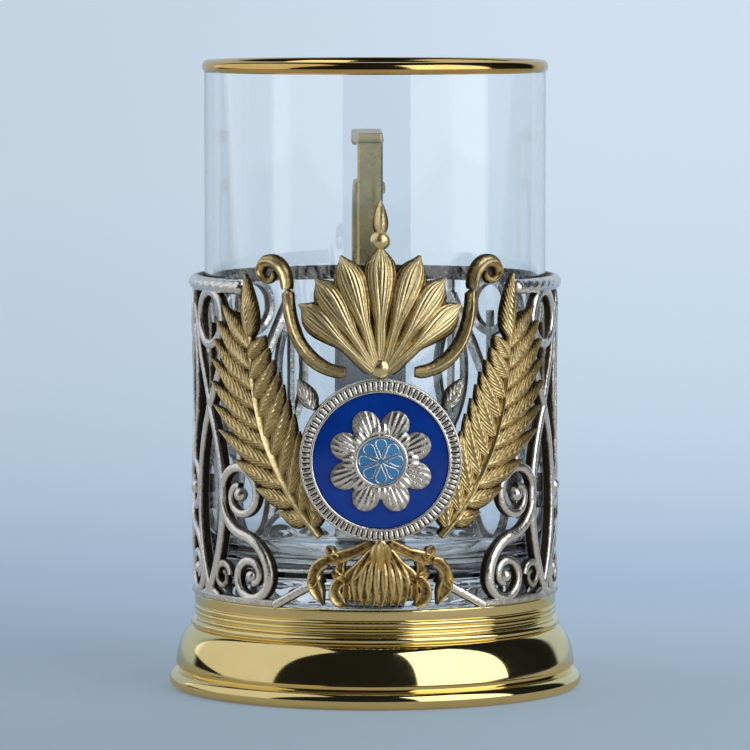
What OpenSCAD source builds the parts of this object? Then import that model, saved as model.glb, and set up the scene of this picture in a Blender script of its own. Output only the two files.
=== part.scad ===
// A tea glass in its holder: a polished ogee foot, a pierced scrollwork sleeve,
// a cartouche with an enamel medallion in front and a strap handle behind.
// The origin is the middle of the foot's underside. The front faces -Y, the handle +Y.

/* [Glass] */
// Outer diameter of the glass
glass_d = 68; // [64:0.5:72]
// Height of the glass
glass_h = 107.8; // [100:0.2:115]
// Thickness of the glass wall
glass_wall = 1.6; // [1.2:0.1:2.4]
// Thickness of the solid bottom of the glass
glass_floor = 9.5; // [6:0.5:12]
// Rounding of the glass at the bottom edge
glass_round = 3; // [1.5:0.5:4]
// Radius of the bead round the lip
lip_bead_r = 1.05; // [0.8:0.05:1.2]
// Thickness of the gilding on the lip
gilt_t = 0.25; // [0.2:0.05:0.4]
// Gap between the glass and the sleeve
glass_fit = 0.5; // [0.4:0.05:1]

/* [Foot] */
// Radius of the round moulding under the foot
foot_roll_r = 1.7; // [1.4:0.1:2]
// How far the foot stands out past the sleeve
foot_spread = 4.7; // [3.5:0.1:6]
// Height of the domed skirt
skirt_h = 9; // [8:0.2:11]
// Radius of the skirt's curve
skirt_curve_r = 8; // [7.5:0.1:9]
// Thickness of the spun metal of the skirt
skirt_t = 1.2; // [0.9:0.1:1.6]
// Height of the collar above the skirt
collar_h = 6.7; // [6.2:0.1:8]
// Thickness of the floor that carries the glass
floor_t = 1.5; // [1:0.1:2]
// Depth of the well that the glass stands in
well_d = 1.7; // [1.2:0.1:2.4]

/* [Sleeve] */
// Thickness of the pierced wall
sleeve_t = 2.1; // [1.7:0.1:2.6]
// Height of the sleeve above the collar
sleeve_h = 63.4; // [58:0.2:70]
// Width of the scrollwork straps
strap_w = 1.7; // [1.4:0.1:2]
// Height of the band at the sleeve's foot
base_band_h = 1.2; // [0.8:0.1:2]
// Height of the rounded band at the sleeve's top
rim_h = 2.8; // [2.2:0.1:3.4]
// Angle that one bay of the pattern takes
bay_deg = 34; // [33:0.25:35]
// Half the width of the pointed ovals between two bays
oval_half = 5.4; // [4.9:0.1:5.8]
// Height of the crossing of the lower ovals above the collar
crossing_h = 38; // [36:0.5:40]
// Radius of the lower end of the long scrolls
low_volute_r = 4.6; // [4.2:0.1:4.8]
// Half the angle of the plain plate that carries the handle
plate_half_deg = 12; // [10:0.5:13]

/* [Handle] */
// Width of the handle strap
handle_w = 5.4; // [4.5:0.1:7]
// Thickness of the handle strap
handle_t = 2.7; // [2.2:0.1:3.2]
// Width of the finger loop
loop_w = 6.6; // [5.5:0.1:8]
// How far the finger loop rises above the sleeve
loop_rise = 17; // [13:0.5:20]
// How far the loop reaches out from the sleeve
loop_reach = 35.5; // [30:0.5:40]
// Height of the thumb rest above the finger loop
thumb_rise = 10; // [8:0.5:12]
// Thickness of the thumb rest
thumb_t = 2.2; // [1.8:0.1:2.6]
// Width of the thumb rest at its outer end
thumb_w = 6.8; // [5.5:0.1:9]

/* [Medallion] */
// Outer diameter of the medallion
medal_d = 31.4; // [28:0.2:33]
// Height of the medallion's middle above the collar
medal_h = 29.4; // [28:0.2:31]
// Width of the reeded border
border_w = 2.6; // [2:0.1:3.2]
// Number of reeds round the border
reeds = 84; // [60:2:96]
// How far the medallion's face stands out from the sleeve
medal_out = 3.2; // [2.8:0.1:3.6]
// Diameter of the silver rosette
rosette_d = 20.6; // [16:0.2:22]
// Number of petals on the rosette
petals = 8; // [6:1:12]

/* [Cartouche] */
// Clearance between the cartouche and the sleeve
front_gap = 0.25; // [0.15:0.05:0.4]
// Number of leaflet pairs on each frond
leaflet_pairs = 10; // [7:1:11]
// Length of the longest leaflets
leaflet_len = 14.5; // [12:0.5:15.5]
// Width of the leaflets
leaflet_w = 4.2; // [3.2:0.1:4.6]
// Thickness of the leaves at the ridge
leaf_t = 2.2; // [1.6:0.1:2.6]
// Height of the crest above the medallion
crest_h = 34.8; // [30:0.2:38]
// Half the width of the lower palmette
palmette_half = 15; // [13:0.5:16]

/* [Hidden] */
$fn = 96;

// Radii, from the glass outwards
glass_r = glass_d / 2;
wall_in = glass_r + glass_fit;
wall_out = wall_in + sleeve_t;
wall_mid = wall_in + sleeve_t / 2;
foot_r = wall_out + foot_spread;
collar_r = wall_out - 0.5;
front_r = wall_out + front_gap;

// Heights, from the table up
foot_top = 2 * foot_roll_r;
skirt_top = foot_top + skirt_h;
collar_top = skirt_top + collar_h;
floor_top = collar_top - well_d;
glass_top = floor_top + glass_h;
band_top = collar_top + base_band_h;
sleeve_top = collar_top + sleeve_h;
rim_low = sleeve_top - rim_h;
crossing_z = collar_top + crossing_h;
medal_z = collar_top + medal_h;
loop_top = sleeve_top + loop_rise;
thumb_top = loop_top + thumb_rise;

// Pattern of the sleeve: ovals stand on the columns, with one long scroll between them
first_column = 180 - plate_half_deg - 3 * bay_deg;
oval_deg = asin(oval_half / wall_mid);
big_volute_r = wall_mid * sin(bay_deg / 2 - oval_deg) + 0.6;
oval_low = collar_top + 2;
oval_high = crossing_z;
big_volute_z = collar_top + 21.4;
low_volute_at = [-3.1, band_top + low_volute_r - 0.3];
side_scroll_r = 2.7;
side_scroll_at = [5.6, band_top + side_scroll_r + 1];
arch_top = rim_low - 3;
loop_z = rim_low - 5;
ring_r = 5.4;
leaf_loop_low = big_volute_z + big_volute_r + 3.5;
leaf_loop_high = arch_top - 4;
leaf_loop_half = 3.2;
ball_r = 1.5;
cut_low = wall_in - 5;
cut_deep = sleeve_t + 8;
window_deg = first_column - bay_deg / 2;
front_reach = 15;
band_reach = 14;

// Places piece by piece on the wall: x runs round it, y runs up and z outwards
module on_wall(deg) {
    rotate([0, 0, deg]) rotate([90, 0, 0]) children();
}

// A stretch of strap along a circle, from one angle to the other
module strap_arc(at, r, from, to, w = strap_w) {
    translate([at[0], at[1], cut_low])
        rotate_extrude(angle = to - from, start = from)
            translate([r - w / 2, 0])
                square([w, cut_deep]);
}

// A straight strap between two points
module strap_line(p, q, w = strap_w) {
    run = q - p;
    translate([p[0], p[1], cut_low])
        rotate([0, 0, atan2(run[1], run[0])])
            translate([0, -w / 2, 0])
                cube([norm(run), w, cut_deep]);
}

// A strap that bulges to one side between a low and a high point on the column
module bowed_strap(x, low, high, bulge) {
    half = (high - low) / 2;
    b = abs(bulge);
    r = (half * half + b * b) / (2 * b);
    reach = asin(half / r);
    side = bulge > 0 ? 1 : -1;
    turn = side > 0 ? 0 : 180;
    strap_arc([x + bulge - side * r, low + half], r, turn - reach, turn + reach);
}

// A scroll of three half turns that tighten towards a ball, from the angle where it starts
module volute(at, r, start, hand = 1) {
    step = r / 6;
    mirror_x = hand > 0 ? 0 : 1;
    translate([at[0], at[1], 0]) mirror([mirror_x, 0, 0]) rotate([0, 0, start - 90]) {
        strap_arc([0, 0], r, 90, 270);
        strap_arc([0, -step / 2], r - step / 2, -90, 90, strap_w * 0.94);
        strap_arc([0, step / 2], r - 1.5 * step, 90, 270, strap_w * 0.88);
        strap_arc([0, step * 1.6], r - 2.6 * step, 180, 270, strap_w * 0.8);
    }
}

// A strap in the shape of an S that leaves one point downwards and reaches the other upright,
// made of two arcs that lap a little, the lower one a hair wider
module s_strap(p, q) {
    lap = 2;
    lower_w = strap_w * 1.02;
    run = q - p;
    r = -(run * run) / (4 * run[0]);
    upper = [p[0] - r, p[1]];
    lower = [q[0] + r, q[1]];
    lean = atan2(lower[1] - upper[1], lower[0] - upper[0]);
    strap_arc(upper, r, lean - lap, 0);
    strap_arc(lower, r, 180 + lean - lap, 180, lower_w);
}

// The shell that the scrollwork is cut from, between two angles
module wall_sector(from, to, low = band_top, high = rim_low) {
    rotate_extrude(angle = to - from, start = from - 90)
        translate([wall_in, low])
            square([sleeve_t, high - low]);
}

// Half of a column: the lower oval, the strap to the arch and the ring under the rim
module column_half(deg, side) {
    rise = arch_top - crossing_z;
    across = wall_mid * sin(bay_deg / 2);
    lean = atan2(across, rise);
    on_wall(deg) {
        bowed_strap(0, oval_low, oval_high, side * oval_half);
        strap_line([0, crossing_z], [side * across, arch_top]);
        strap_line([0, crossing_z], [-side * 3 * tan(lean), crossing_z - 3]);
        strap_arc([0, loop_z], ring_r, 0, 360);
        strap_line([0, crossing_z], [0, loop_z]);
        strap_line([-strap_w, oval_low + 0.4], [side * 3.4, band_top - 1], strap_w);
    }
}

// What stands in the middle of a bay: a long S scroll, a small scroll beside it and a leaf above
module bay_middle(deg) {
    on_wall(deg) {
        volute([0, big_volute_z], big_volute_r, 0);
        volute(low_volute_at, low_volute_r, 180);
        s_strap([big_volute_r, big_volute_z], low_volute_at - [low_volute_r, 0]);
        volute(side_scroll_at, side_scroll_r, 180, -1);
        strap_line([0, big_volute_z + big_volute_r], [0, arch_top + 8]);
        bowed_strap(0, leaf_loop_low, leaf_loop_high, leaf_loop_half);
        bowed_strap(0, leaf_loop_low, leaf_loop_high, -leaf_loop_half);
    }
}

// The balls in the eyes of the scrolls
module bay_balls(deg) {
    on_wall(deg) {
        translate([0, big_volute_z, wall_mid]) sphere(r = ball_r);
        translate([low_volute_at[0], low_volute_at[1], wall_mid]) sphere(r = ball_r * 0.85);
    }
}

// One bay between two columns, counted from the first column on the right
module bay(number) {
    from = first_column + number * bay_deg;
    mid = from + bay_deg / 2;
    intersection() {
        union() {
            column_half(from, 1);
            column_half(from + bay_deg, -1);
            bay_middle(mid);
        }
        wall_sector(from, from + bay_deg);
    }
    bay_balls(mid);
}

// The bay at the edge of the front window, which has one column only
module front_bay() {
    mid = window_deg;
    intersection() {
        union() {
            column_half(first_column, -1);
            bay_middle(mid);
        }
        wall_sector(mid - front_reach, first_column);
    }
    bay_balls(mid);
}

module flip() {
    mirror([1, 0, 0]) children();
}

module sleeve_front_right() { color("silver") front_bay(); }
module sleeve_side_right() { color("silver") bay(0); }
module sleeve_flank_right() { color("silver") bay(1); }
module sleeve_rear_right() { color("silver") bay(2); }
module sleeve_front_left() { color("silver") flip() front_bay(); }
module sleeve_side_left() { color("silver") flip() bay(0); }
module sleeve_flank_left() { color("silver") flip() bay(1); }
module sleeve_rear_left() { color("silver") flip() bay(2); }

// The flat band that the scrollwork stands on, open at the front window
module sleeve_base_band() {
    open = window_deg - band_reach;
    color("silver")
        rotate_extrude(angle = 360 - 2 * open, start = open - 90)
            translate([wall_in, collar_top])
                square([sleeve_t, base_band_h]);
}

// The rounded top band, which ends in a ball at each side of the window
module sleeve_rim() {
    open = window_deg;
    r = rim_h / 2;
    color("silver") {
        rotate_extrude(angle = 360 - 2 * open, start = open - 90) {
            translate([wall_out - r + 0.4, rim_low + r]) circle(r = r);
            translate([wall_in, rim_low]) square([sleeve_t - r + 0.4, rim_h]);
        }
        for (side = [-1, 1])
            rotate([0, 0, side * open])
                translate([0, -(wall_out - r + 0.4), rim_low + r])
                    sphere(r = r + 0.2);
    }
}

// The plain plate behind, with holes for the two rivets of the handle
module sleeve_back_plate() {
    color("silver") difference() {
        rotate_extrude(angle = 2 * plate_half_deg, start = 90 - plate_half_deg)
            translate([wall_in, band_top])
                square([sleeve_t, rim_low - band_top]);
        handle_holes();
    }
}

// The round moulding that the holder stands on
module foot_ring() {
    flat_w = 2.1;
    color("gold") rotate_extrude() {
        translate([foot_r - foot_roll_r, foot_roll_r]) circle(r = foot_roll_r);
        translate([foot_r - foot_roll_r - flat_w, 0]) square([flat_w, foot_top]);
    }
}

// The domed skirt, spun from sheet: a bold curve that turns in to the collar
skirt_r = foot_r - 0.8;
skirt_z = foot_top + 2.6;
skirt_neck_r = collar_r + 0.6;
ledge_w = 3;

module base_skirt() {
    cx = skirt_r - skirt_curve_r;
    inner = skirt_curve_r - skirt_t;
    lip_in = wall_in - ledge_w - 0.2;
    lip_w = skirt_neck_r + 0.3 - lip_in;
    color("gold") rotate_extrude() {
        intersection() {
            difference() {
                translate([cx, skirt_z]) circle(r = skirt_curve_r);
                translate([cx, skirt_z]) circle(r = inner);
            }
            translate([cx + 3, foot_top]) square([skirt_curve_r, skirt_h - skirt_t * 0.6]);
        }
        translate([lip_in, skirt_top - skirt_t]) square([lip_w, skirt_t]);
    }
}

// The collar: a plain band over two beads, a hollow and a fillet
module base_collar() {
    inner = wall_in - ledge_w;
    bead = 0.55;
    color("gold") difference() {
        rotate_extrude() {
            translate([inner, skirt_top]) square([collar_r - 0.5 - inner, collar_h]);
            translate([inner, collar_top - 2.2]) square([collar_r - inner, 2.2]);
            translate([collar_r - 0.4, collar_top - 2.9]) circle(r = bead);
            translate([collar_r - 0.5, collar_top - 3.95]) circle(r = bead);
            translate([skirt_neck_r - 0.9, skirt_top + 0.7]) circle(r = 0.7);
            translate([inner, skirt_top]) square([skirt_neck_r - 0.9 - inner, 1.4]);
        }
        translate([0, 0, floor_top - floor_t]) cylinder(r = wall_in, h = collar_h + floor_t);
    }
}

// The floor sits on the collar's ledge and carries the glass
module floor_plate() {
    color("silver")
        translate([0, 0, floor_top - floor_t]) cylinder(r = wall_in, h = floor_t);
}

// The middle line of a leaf or tendril that starts at a place and keeps turning
function heading(lie, t) = lie[0] + lie[1] * t + lie[2] * t * t;
function midline(at, lie, len, n) = [
    for (i = 0, p = at; i <= n;
        p = p + len / n * [sin(heading(lie, (i + 0.5) / n)), cos(heading(lie, (i + 0.5) / n))],
        i = i + 1) p
];

// A leaf's section, square to its middle line: p is a place on the front of the sleeve
// with u round it and z up, a the direction, w half the width and h the height
function leaf_section(p, a, w, h, seat) =
    let (
        turn = p[0] / front_r * 180 / PI,
        out = [sin(turn), -cos(turn), 0],
        side = [cos(a) * cos(turn), cos(a) * sin(turn), -sin(a)] * w,
        mid = out * (front_r + seat) + [0, 0, p[1]],
        shoulder = out * h * 0.4
    )
    [mid - side, mid - side + shoulder, mid + out * h, mid + side + shoulder, mid + side];

// The solid between two sections
module leaf_slice(low, high) {
    hull() polyhedron(
        points = concat(low, high),
        faces = [[0, 1, 2, 3, 4], [9, 8, 7, 6, 5],
            [0, 5, 6, 1], [1, 6, 7, 2], [2, 7, 8, 3], [3, 8, 9, 4], [4, 9, 5, 0]]
    );
}

// A carved leaf: flat at the back, ridged along its middle, widest at its belly
// at is its root, lie its direction from upright with its turn and curl in degrees
module leaf(at, lie, len, wid, root = 0.45, belly = 0.6, tip = 0.1, n = 5, lift = leaf_t, seat = 0) {
    mid = midline(at, lie, len, n);
    sections = [
        for (i = [0:n])
            let (
                t = i / n,
                swell = pow(sin(180 * pow(t, belly)), 0.8),
                w = wid / 2 * max(swell, t < 0.5 ? root : tip),
                h = lift * (t < 0.5 ? 1 : 1 - 0.7 * (t - 0.5))
            )
            leaf_section(mid[i], heading(lie, t), w, h, seat)
    ];
    for (i = [0:n - 1]) leaf_slice(sections[i], sections[i + 1]);
}

// The leaves keep clear of the medallion's place
module carved() {
    difference() {
        union() {
            children();
        }
        on_face(-cup_back) cylinder(r = cup_r + front_gap, h = 2 * cup_back);
    }
}

// The stem of the right frond is one arc
stem_at = [11.5, medal_z - 15];
stem_lie = [41, -41, 0];
stem_len = 44;
stem_steps = 12;
stem_w = 2;
leaflet_out = 46;
leaflet_in = 44;

module frond() {
    stem = midline(stem_at, stem_lie, stem_len, 2 * (leaflet_pairs + 1));
    carved() {
        leaf(stem_at, stem_lie, stem_len, stem_w, root = 0.9, tip = 0.5, n = stem_steps, lift = 2.4);
        for (i = [0:leaflet_pairs - 1]) {
            t = (i + 1) / (leaflet_pairs + 1);
            a = heading(stem_lie, t);
            len = leaflet_len * (0.72 + 0.5 * sin(180 * t) - 0.12 * t);
            short = 0.94 - 0.5 * t;
            leaf(stem[2 * i + 2], [a + leaflet_out, -10, 0], len, leaflet_w, seat = 0.1 + 0.1 * (i % 3));
            leaf(stem[2 * i + 1], [a - leaflet_in, 12, 0], len * short, leaflet_w,
                seat = 0.15 + 0.1 * (i % 3));
        }
        leaf(stem[2 * leaflet_pairs + 1], [heading(stem_lie, 1) + 4, 6, 0], leaflet_len * 0.85,
            leaflet_w, seat = 0.12);
    }
}

module frond_right() { color("goldenrod") frond(); }
module frond_left() { color("goldenrod") flip() frond(); }

// A silver leaf lies between the medallion and each frond
silver_at = [12.4, medal_z + 9.8];
silver_lie = [40, -16, 0];
silver_len = 6.6;
silver_w = 3.6;

module silver_leaves() {
    color("silver") carved() for (side = [0, 1]) mirror([side, 0, 0]) {
        leaf(silver_at, silver_lie, silver_len, silver_w, belly = 0.8, lift = 2.8);
    }
}

// The crest: round-ended lobes lie close together like a shell, under a bud
// Their ends lie on an oval
crest_z = medal_z + medal_d / 2 + 1.6;
shell_h = 0.7 * crest_h;
shell_half = 0.51 * medal_d;
lobe_step = 15;
lobe_w = 6.8;
knop_r = 2.3;
bud_r = 1.9;
bud_w = 3;
function lobe_len(a) = 1 / norm([sin(a) / shell_half, cos(a) / shell_h]);

module crest_palmette() {
    bud_z = crest_z + shell_h + 0.8;
    color("goldenrod") carved() {
        leaf([0, crest_z], [0, 0, 0], shell_h, lobe_w, belly = 2.2, tip = 0.3, n = 9, lift = 2.8);
        for (side = [0, 1]) mirror([side, 0, 0])
            for (i = [1:3])
                leaf([0.5 * i, crest_z], [lobe_step * i, 0, 8], lobe_len(lobe_step * i), lobe_w,
                    belly = 2.2, tip = 0.3, n = 9, seat = 0.12 * i);
        translate([0, -(front_r + 1.2), crest_z + 0.6]) sphere(r = knop_r, $fn = 20);
        translate([0, -(front_r + 1.1), bud_z]) sphere(r = bud_r, $fn = 16);
        leaf([0, bud_z + 1], [0, 0, 0], crest_z + crest_h - bud_z - 2.6, bud_w, n = 4);
    }
}

// Two arms leave the crest's foot, wave outwards and curl at their ends
arm_at = [6.6, crest_z - 0.4];
arm_lie = [92, -150, 60];
arm_len = 22;
arm_w = 2.8;
curl_lie = [heading(arm_lie, 1), 40, 340];
curl_len = 16;

module crest_tendrils() {
    path = midline(arm_at, arm_lie, arm_len, 12);
    color("goldenrod") carved() for (side = [0, 1]) mirror([side, 0, 0]) {
        leaf(arm_at, arm_lie, arm_len, arm_w, root = 0.9, tip = 0.9, n = 12);
        leaf(path[12], curl_lie, curl_len, arm_w, root = 0.9, tip = 0.5, n = 14, seat = 0.1);
    }
}

// The lower palmette: ribs fan down to the collar between two pairs of curling leaves
module lower_palmette() {
    top_z = medal_z - medal_d / 2 - 0.2;
    drop = top_z - collar_top - 0.3;
    color("goldenrod") carved() {
        leaf([0, top_z], [180, 0, 0], drop, 3, root = 0.6, belly = 1.3, tip = 0.5);
        for (side = [0, 1]) mirror([side, 0, 0]) {
            leaf([0.8, top_z - 0.6], [164, 24, 0], drop * 0.97, 2.5, belly = 1.3, tip = 0.5);
            leaf([1.4, top_z - 1], [150, 46, 0], drop * 0.99, 2.4, belly = 1.2, tip = 0.5);
            leaf([1.6, top_z - 1.6], [118, 110, 0], palmette_half * 0.95, 3, belly = 0.9, n = 9);
            leaf([2.2, top_z - 0.4], [104, -30, 210], palmette_half * 1.35, 2.8, root = 0.8,
                belly = 0.8, n = 12);
            leaf([7.4, top_z - 2.6], [60, 40, 0], 3, 1.8, n = 4);
        }
        translate([0, -(front_r + 1), top_z - 0.6]) sphere(r = 1.6, $fn = 16);
    }
}

// Silver bars that tie the lowest scrolls to the lower palmette
brace_deg = 28;
brace_in = [-6.6, band_top + 5];
brace_out = [4.4, collar_top + 0.2];
brace_end_deg = 18;

module palmette_braces() {
    for (side = [0, 1]) mirror([side, 0, 0]) color("silver") intersection() {
        on_wall(brace_deg) strap_line(brace_in, brace_out);
        wall_sector(brace_end_deg, window_deg - band_reach, collar_top, brace_in[1] + 0.2);
    }
}

// Flat work at the front, square to the sight line: x across, y up and z outwards
module on_face(out) {
    translate([0, -(wall_out + out), medal_z]) rotate([90, 0, 0]) children();
}

cup_r = medal_d / 2;
cup_back = 8;
field_r = cup_r - border_w;
enamel_t = 1;
enamel_dome = 0.4;
rebate_t = 0.5;
face_low = medal_out - rebate_t - enamel_t;
outer_ring_h = 0.6;
reed_h = 1.5;
inner_ring_h = 1.9;
inner_ring_w = 0.8;

// The cup of the medallion follows the sleeve behind and is flat in front
module medallion_cup() {
    floor_out = medal_out - enamel_t;
    color("silver") difference() {
        on_face(-cup_back + floor_out) cylinder(r = cup_r, h = cup_back);
        cylinder(r = front_r, h = 200);
        on_face(face_low) cylinder(r = cup_r + 1, h = cup_back);
    }
}

// The border: reeds between a smooth inner ring and a lower outer ring
module medallion_border() {
    tooth = 360 / reeds;
    color("silver") on_face(face_low) difference() {
        union() {
            cylinder(r = cup_r, h = outer_ring_h);
            cylinder(r = field_r + inner_ring_w, h = inner_ring_h);
            linear_extrude(height = reed_h)
                polygon([
                    for (i = [0:reeds - 1])
                        for (k = [[0, cup_r - 0.35], [0.5, cup_r - 0.35], [0.52, field_r + 0.5], [0.98, field_r + 0.5]])
                            k[1] * [cos(tooth * (i + k[0])), sin(tooth * (i + k[0]))]
                ]);
        }
        translate([0, 0, -1]) cylinder(r = field_r, h = inner_ring_h + 2);
    }
}

module medallion_enamel() {
    color("mediumblue") on_face(face_low) {
        cylinder(r = field_r, h = enamel_t + 0.2);
        translate([0, 0, enamel_t + 0.2])
            cylinder(r1 = field_r, r2 = field_r - 2 * enamel_dome, h = enamel_dome);
    }
}

// The rosette: a ring of round petals with a smaller ring set between them
face_out = medal_out + 0.1;
eye_r = rosette_d * 0.23;

function petal_outline(r, turn) = [
    for (i = [0:5 * petals - 1])
        let (a = 360 * i / (5 * petals), s = abs(sin(petals * a / 2)))
        r * (0.6 + 0.4 * pow(s, 0.5)) * [cos(a + turn), sin(a + turn)]
];

module rosette_petals() {
    color("silver") on_face(face_out) difference() {
        union() {
            linear_extrude(height = 0.5) polygon(petal_outline(rosette_d / 2, 0));
            linear_extrude(height = 0.9) polygon(petal_outline(rosette_d * 0.36, 180 / petals));
        }
        translate([0, 0, -1]) cylinder(r = eye_r, h = 9);
    }
}

module rosette_enamel() {
    color("skyblue") on_face(face_out) {
        cylinder(r = eye_r, h = 0.8);
        translate([0, 0, 0.8]) cylinder(r1 = eye_r, r2 = eye_r * 0.6, h = 0.4);
    }
}

// Work in the upright plane of the handle: x runs out from the axis, y up and z across
module in_handle_plane() {
    rotate([90, 0, 90]) children();
}

// The strap's section, with its four edges taken off
module strap_section(w, t) {
    c = t * 0.25;
    polygon([
        [c - t / 2, -w / 2], [t / 2 - c, -w / 2], [t / 2, c - w / 2], [t / 2, w / 2 - c],
        [t / 2 - c, w / 2], [c - t / 2, w / 2], [-t / 2, w / 2 - c], [-t / 2, c - w / 2]
    ]);
}

module bent_bar(at, r, from, to) {
    translate([at[0], at[1], 0])
        rotate_extrude(angle = to - from, start = from)
            translate([r, 0])
                strap_section(loop_w, handle_t);
}

module straight_bar(from, angle, len) {
    translate([from[0], from[1], 0]) rotate([0, 0, angle]) rotate([90, 0, 90])
        linear_extrude(height = len) strap_section(loop_w, handle_t);
}

spine_out = wall_out + handle_t;
spine_low = collar_top + 2;
rivet_r = 1.1;
rivet_head_r = 1.9;
rivet_fit = 0.05;
rivet_z = [collar_top + 11, sleeve_top - 6.5];
thumb_low = thumb_top - thumb_t;

module handle_holes() {
    for (z = rivet_z)
        translate([0, wall_in - 2, z]) rotate([-90, 0, 0])
            cylinder(r = rivet_r + rivet_fit, h = sleeve_t + handle_t + 4);
}

// The upright spine lies on the back plate and rises above it to the thumb rest,
// with a ridge on the side towards the glass
module handle_spine() {
    rim_bulge = 0.45;
    ridge_w = 2.4;
    ridge_h = 0.9;
    color("gold") {
        difference() {
            translate([-handle_w / 2, wall_out - 0.6, spine_low])
                cube([handle_w, handle_t + 0.6, thumb_low - spine_low]);
            cylinder(r = wall_out, h = sleeve_top);
            translate([-handle_w, wall_out - 2, sleeve_top - 0.01])
                cube([2 * handle_w, 2, thumb_top]);
            translate([-handle_w, wall_out, rim_low])
                cube([2 * handle_w, rim_bulge, rim_h]);
            handle_holes();
        }
        translate([0, wall_out, sleeve_top + 0.5])
            linear_extrude(height = thumb_low - sleeve_top - 0.5)
                polygon([[-ridge_w / 2, 0.2], [0, -ridge_h], [ridge_w / 2, 0.2]]);
    }
}

// The finger loop: over the top, down the outside and back to a small roll
module handle_loop() {
    out_r = wall_out + loop_reach - handle_t / 2;
    top_y = loop_top - handle_t / 2;
    corner_r = 15;
    sweep_r = 46;
    roll_r = 3.2;
    roll_w = loop_w + 0.8;
    corner = [out_r - corner_r, top_y - corner_r];
    sweep = [out_r - sweep_r, corner[1]];
    roll_x = spine_out + roll_r - 0.2;
    sweep_deg = acos((roll_x - sweep[0]) / sweep_r);
    color("gold") in_handle_plane() {
        straight_bar([spine_out, top_y], 0, corner[0] - spine_out);
        bent_bar(corner, corner_r, 0, 90);
        bent_bar(sweep, sweep_r, -sweep_deg, 0);
        difference() {
            translate([roll_x, sweep[1] - sweep_r * sin(sweep_deg), -roll_w / 2])
                cylinder(r = roll_r, h = roll_w);
            translate([0, 0, -roll_w]) cube([spine_out, thumb_top, 2 * roll_w]);
        }
    }
}

module handle_rivets() {
    color("gold") for (z = rivet_z)
        translate([0, wall_in + 0.3, z]) rotate([-90, 0, 0]) {
            cylinder(r = rivet_r, h = spine_out - wall_in);
            translate([0, 0, spine_out - wall_in - 0.3]) cylinder(r1 = rivet_head_r, r2 = rivet_r, h = 0.9);
        }
}

// The thumb rest: a flat tongue that widens outwards and ends in a roll
module thumb_rest() {
    reach = wall_out + loop_reach;
    roll_r = 1.7;
    color("gold") {
        translate([0, 0, thumb_low]) linear_extrude(height = thumb_t)
            polygon([
                [-handle_w / 2, wall_out], [handle_w / 2, wall_out],
                [thumb_w / 2, reach - roll_r], [-thumb_w / 2, reach - roll_r]
            ]);
        translate([-thumb_w / 2, reach - roll_r, thumb_top - roll_r])
            rotate([0, 90, 0]) cylinder(r = roll_r, h = thumb_w);
    }
}

// A turned post carries the thumb rest on the loop
module thumb_rest_post() {
    at = wall_out + loop_reach * 0.55;
    gap = thumb_low - loop_top;
    color("gold") translate([0, at, loop_top]) {
        cylinder(r = 1.3, h = gap);
        translate([0, 0, gap / 2]) sphere(r = 2);
    }
}

// The tumbler: a thick bottom, a straight wall and a bead round the lip
module glass_tumbler() {
    wall_r = glass_r - glass_wall;
    inner_round = 5;
    bead_z = glass_top - gilt_t - lip_bead_r;
    color("lightblue") translate([0, 0, floor_top]) rotate_extrude() difference() {
        union() {
            square([glass_r - glass_round, glass_h - 2]);
            translate([0, glass_round]) square([glass_r, bead_z - floor_top - glass_round]);
            translate([glass_r - glass_round, glass_round]) circle(r = glass_round);
            translate([glass_r - glass_wall / 2, bead_z - floor_top]) circle(r = lip_bead_r);
        }
        translate([0, glass_floor + inner_round]) square([wall_r, glass_h]);
        translate([0, glass_floor]) square([wall_r - inner_round, glass_h]);
        translate([wall_r - inner_round, glass_floor + inner_round]) circle(r = inner_round);
        translate([-1, -1]) square([glass_r - glass_round - 5, 1.6]);
        translate([-9, -1]) square([9, glass_h + 9]);
    }
}

// The gilding caps the bead
module glass_gilt_lip() {
    bead_z = glass_top - gilt_t - lip_bead_r;
    mid = glass_r - glass_wall / 2;
    color("gold") rotate_extrude() difference() {
        translate([mid, bead_z]) circle(r = lip_bead_r + gilt_t);
        translate([mid, bead_z]) circle(r = lip_bead_r);
        translate([mid - glass_wall / 2, bead_z - 3]) square([glass_wall, 3]);
    }
}

foot_ring();
base_skirt();
base_collar();
floor_plate();
sleeve_base_band();
sleeve_rim();
sleeve_back_plate();
sleeve_front_left();
sleeve_side_left();
sleeve_flank_left();
sleeve_rear_left();
sleeve_front_right();
sleeve_side_right();
sleeve_flank_right();
sleeve_rear_right();
palmette_braces();
lower_palmette();
frond_left();
frond_right();
silver_leaves();
crest_palmette();
crest_tendrils();
medallion_cup();
medallion_border();
medallion_enamel();
rosette_petals();
rosette_enamel();
handle_spine();
handle_loop();
handle_rivets();
thumb_rest();
thumb_rest_post();
glass_tumbler();
glass_gilt_lip();
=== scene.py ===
import math

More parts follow.
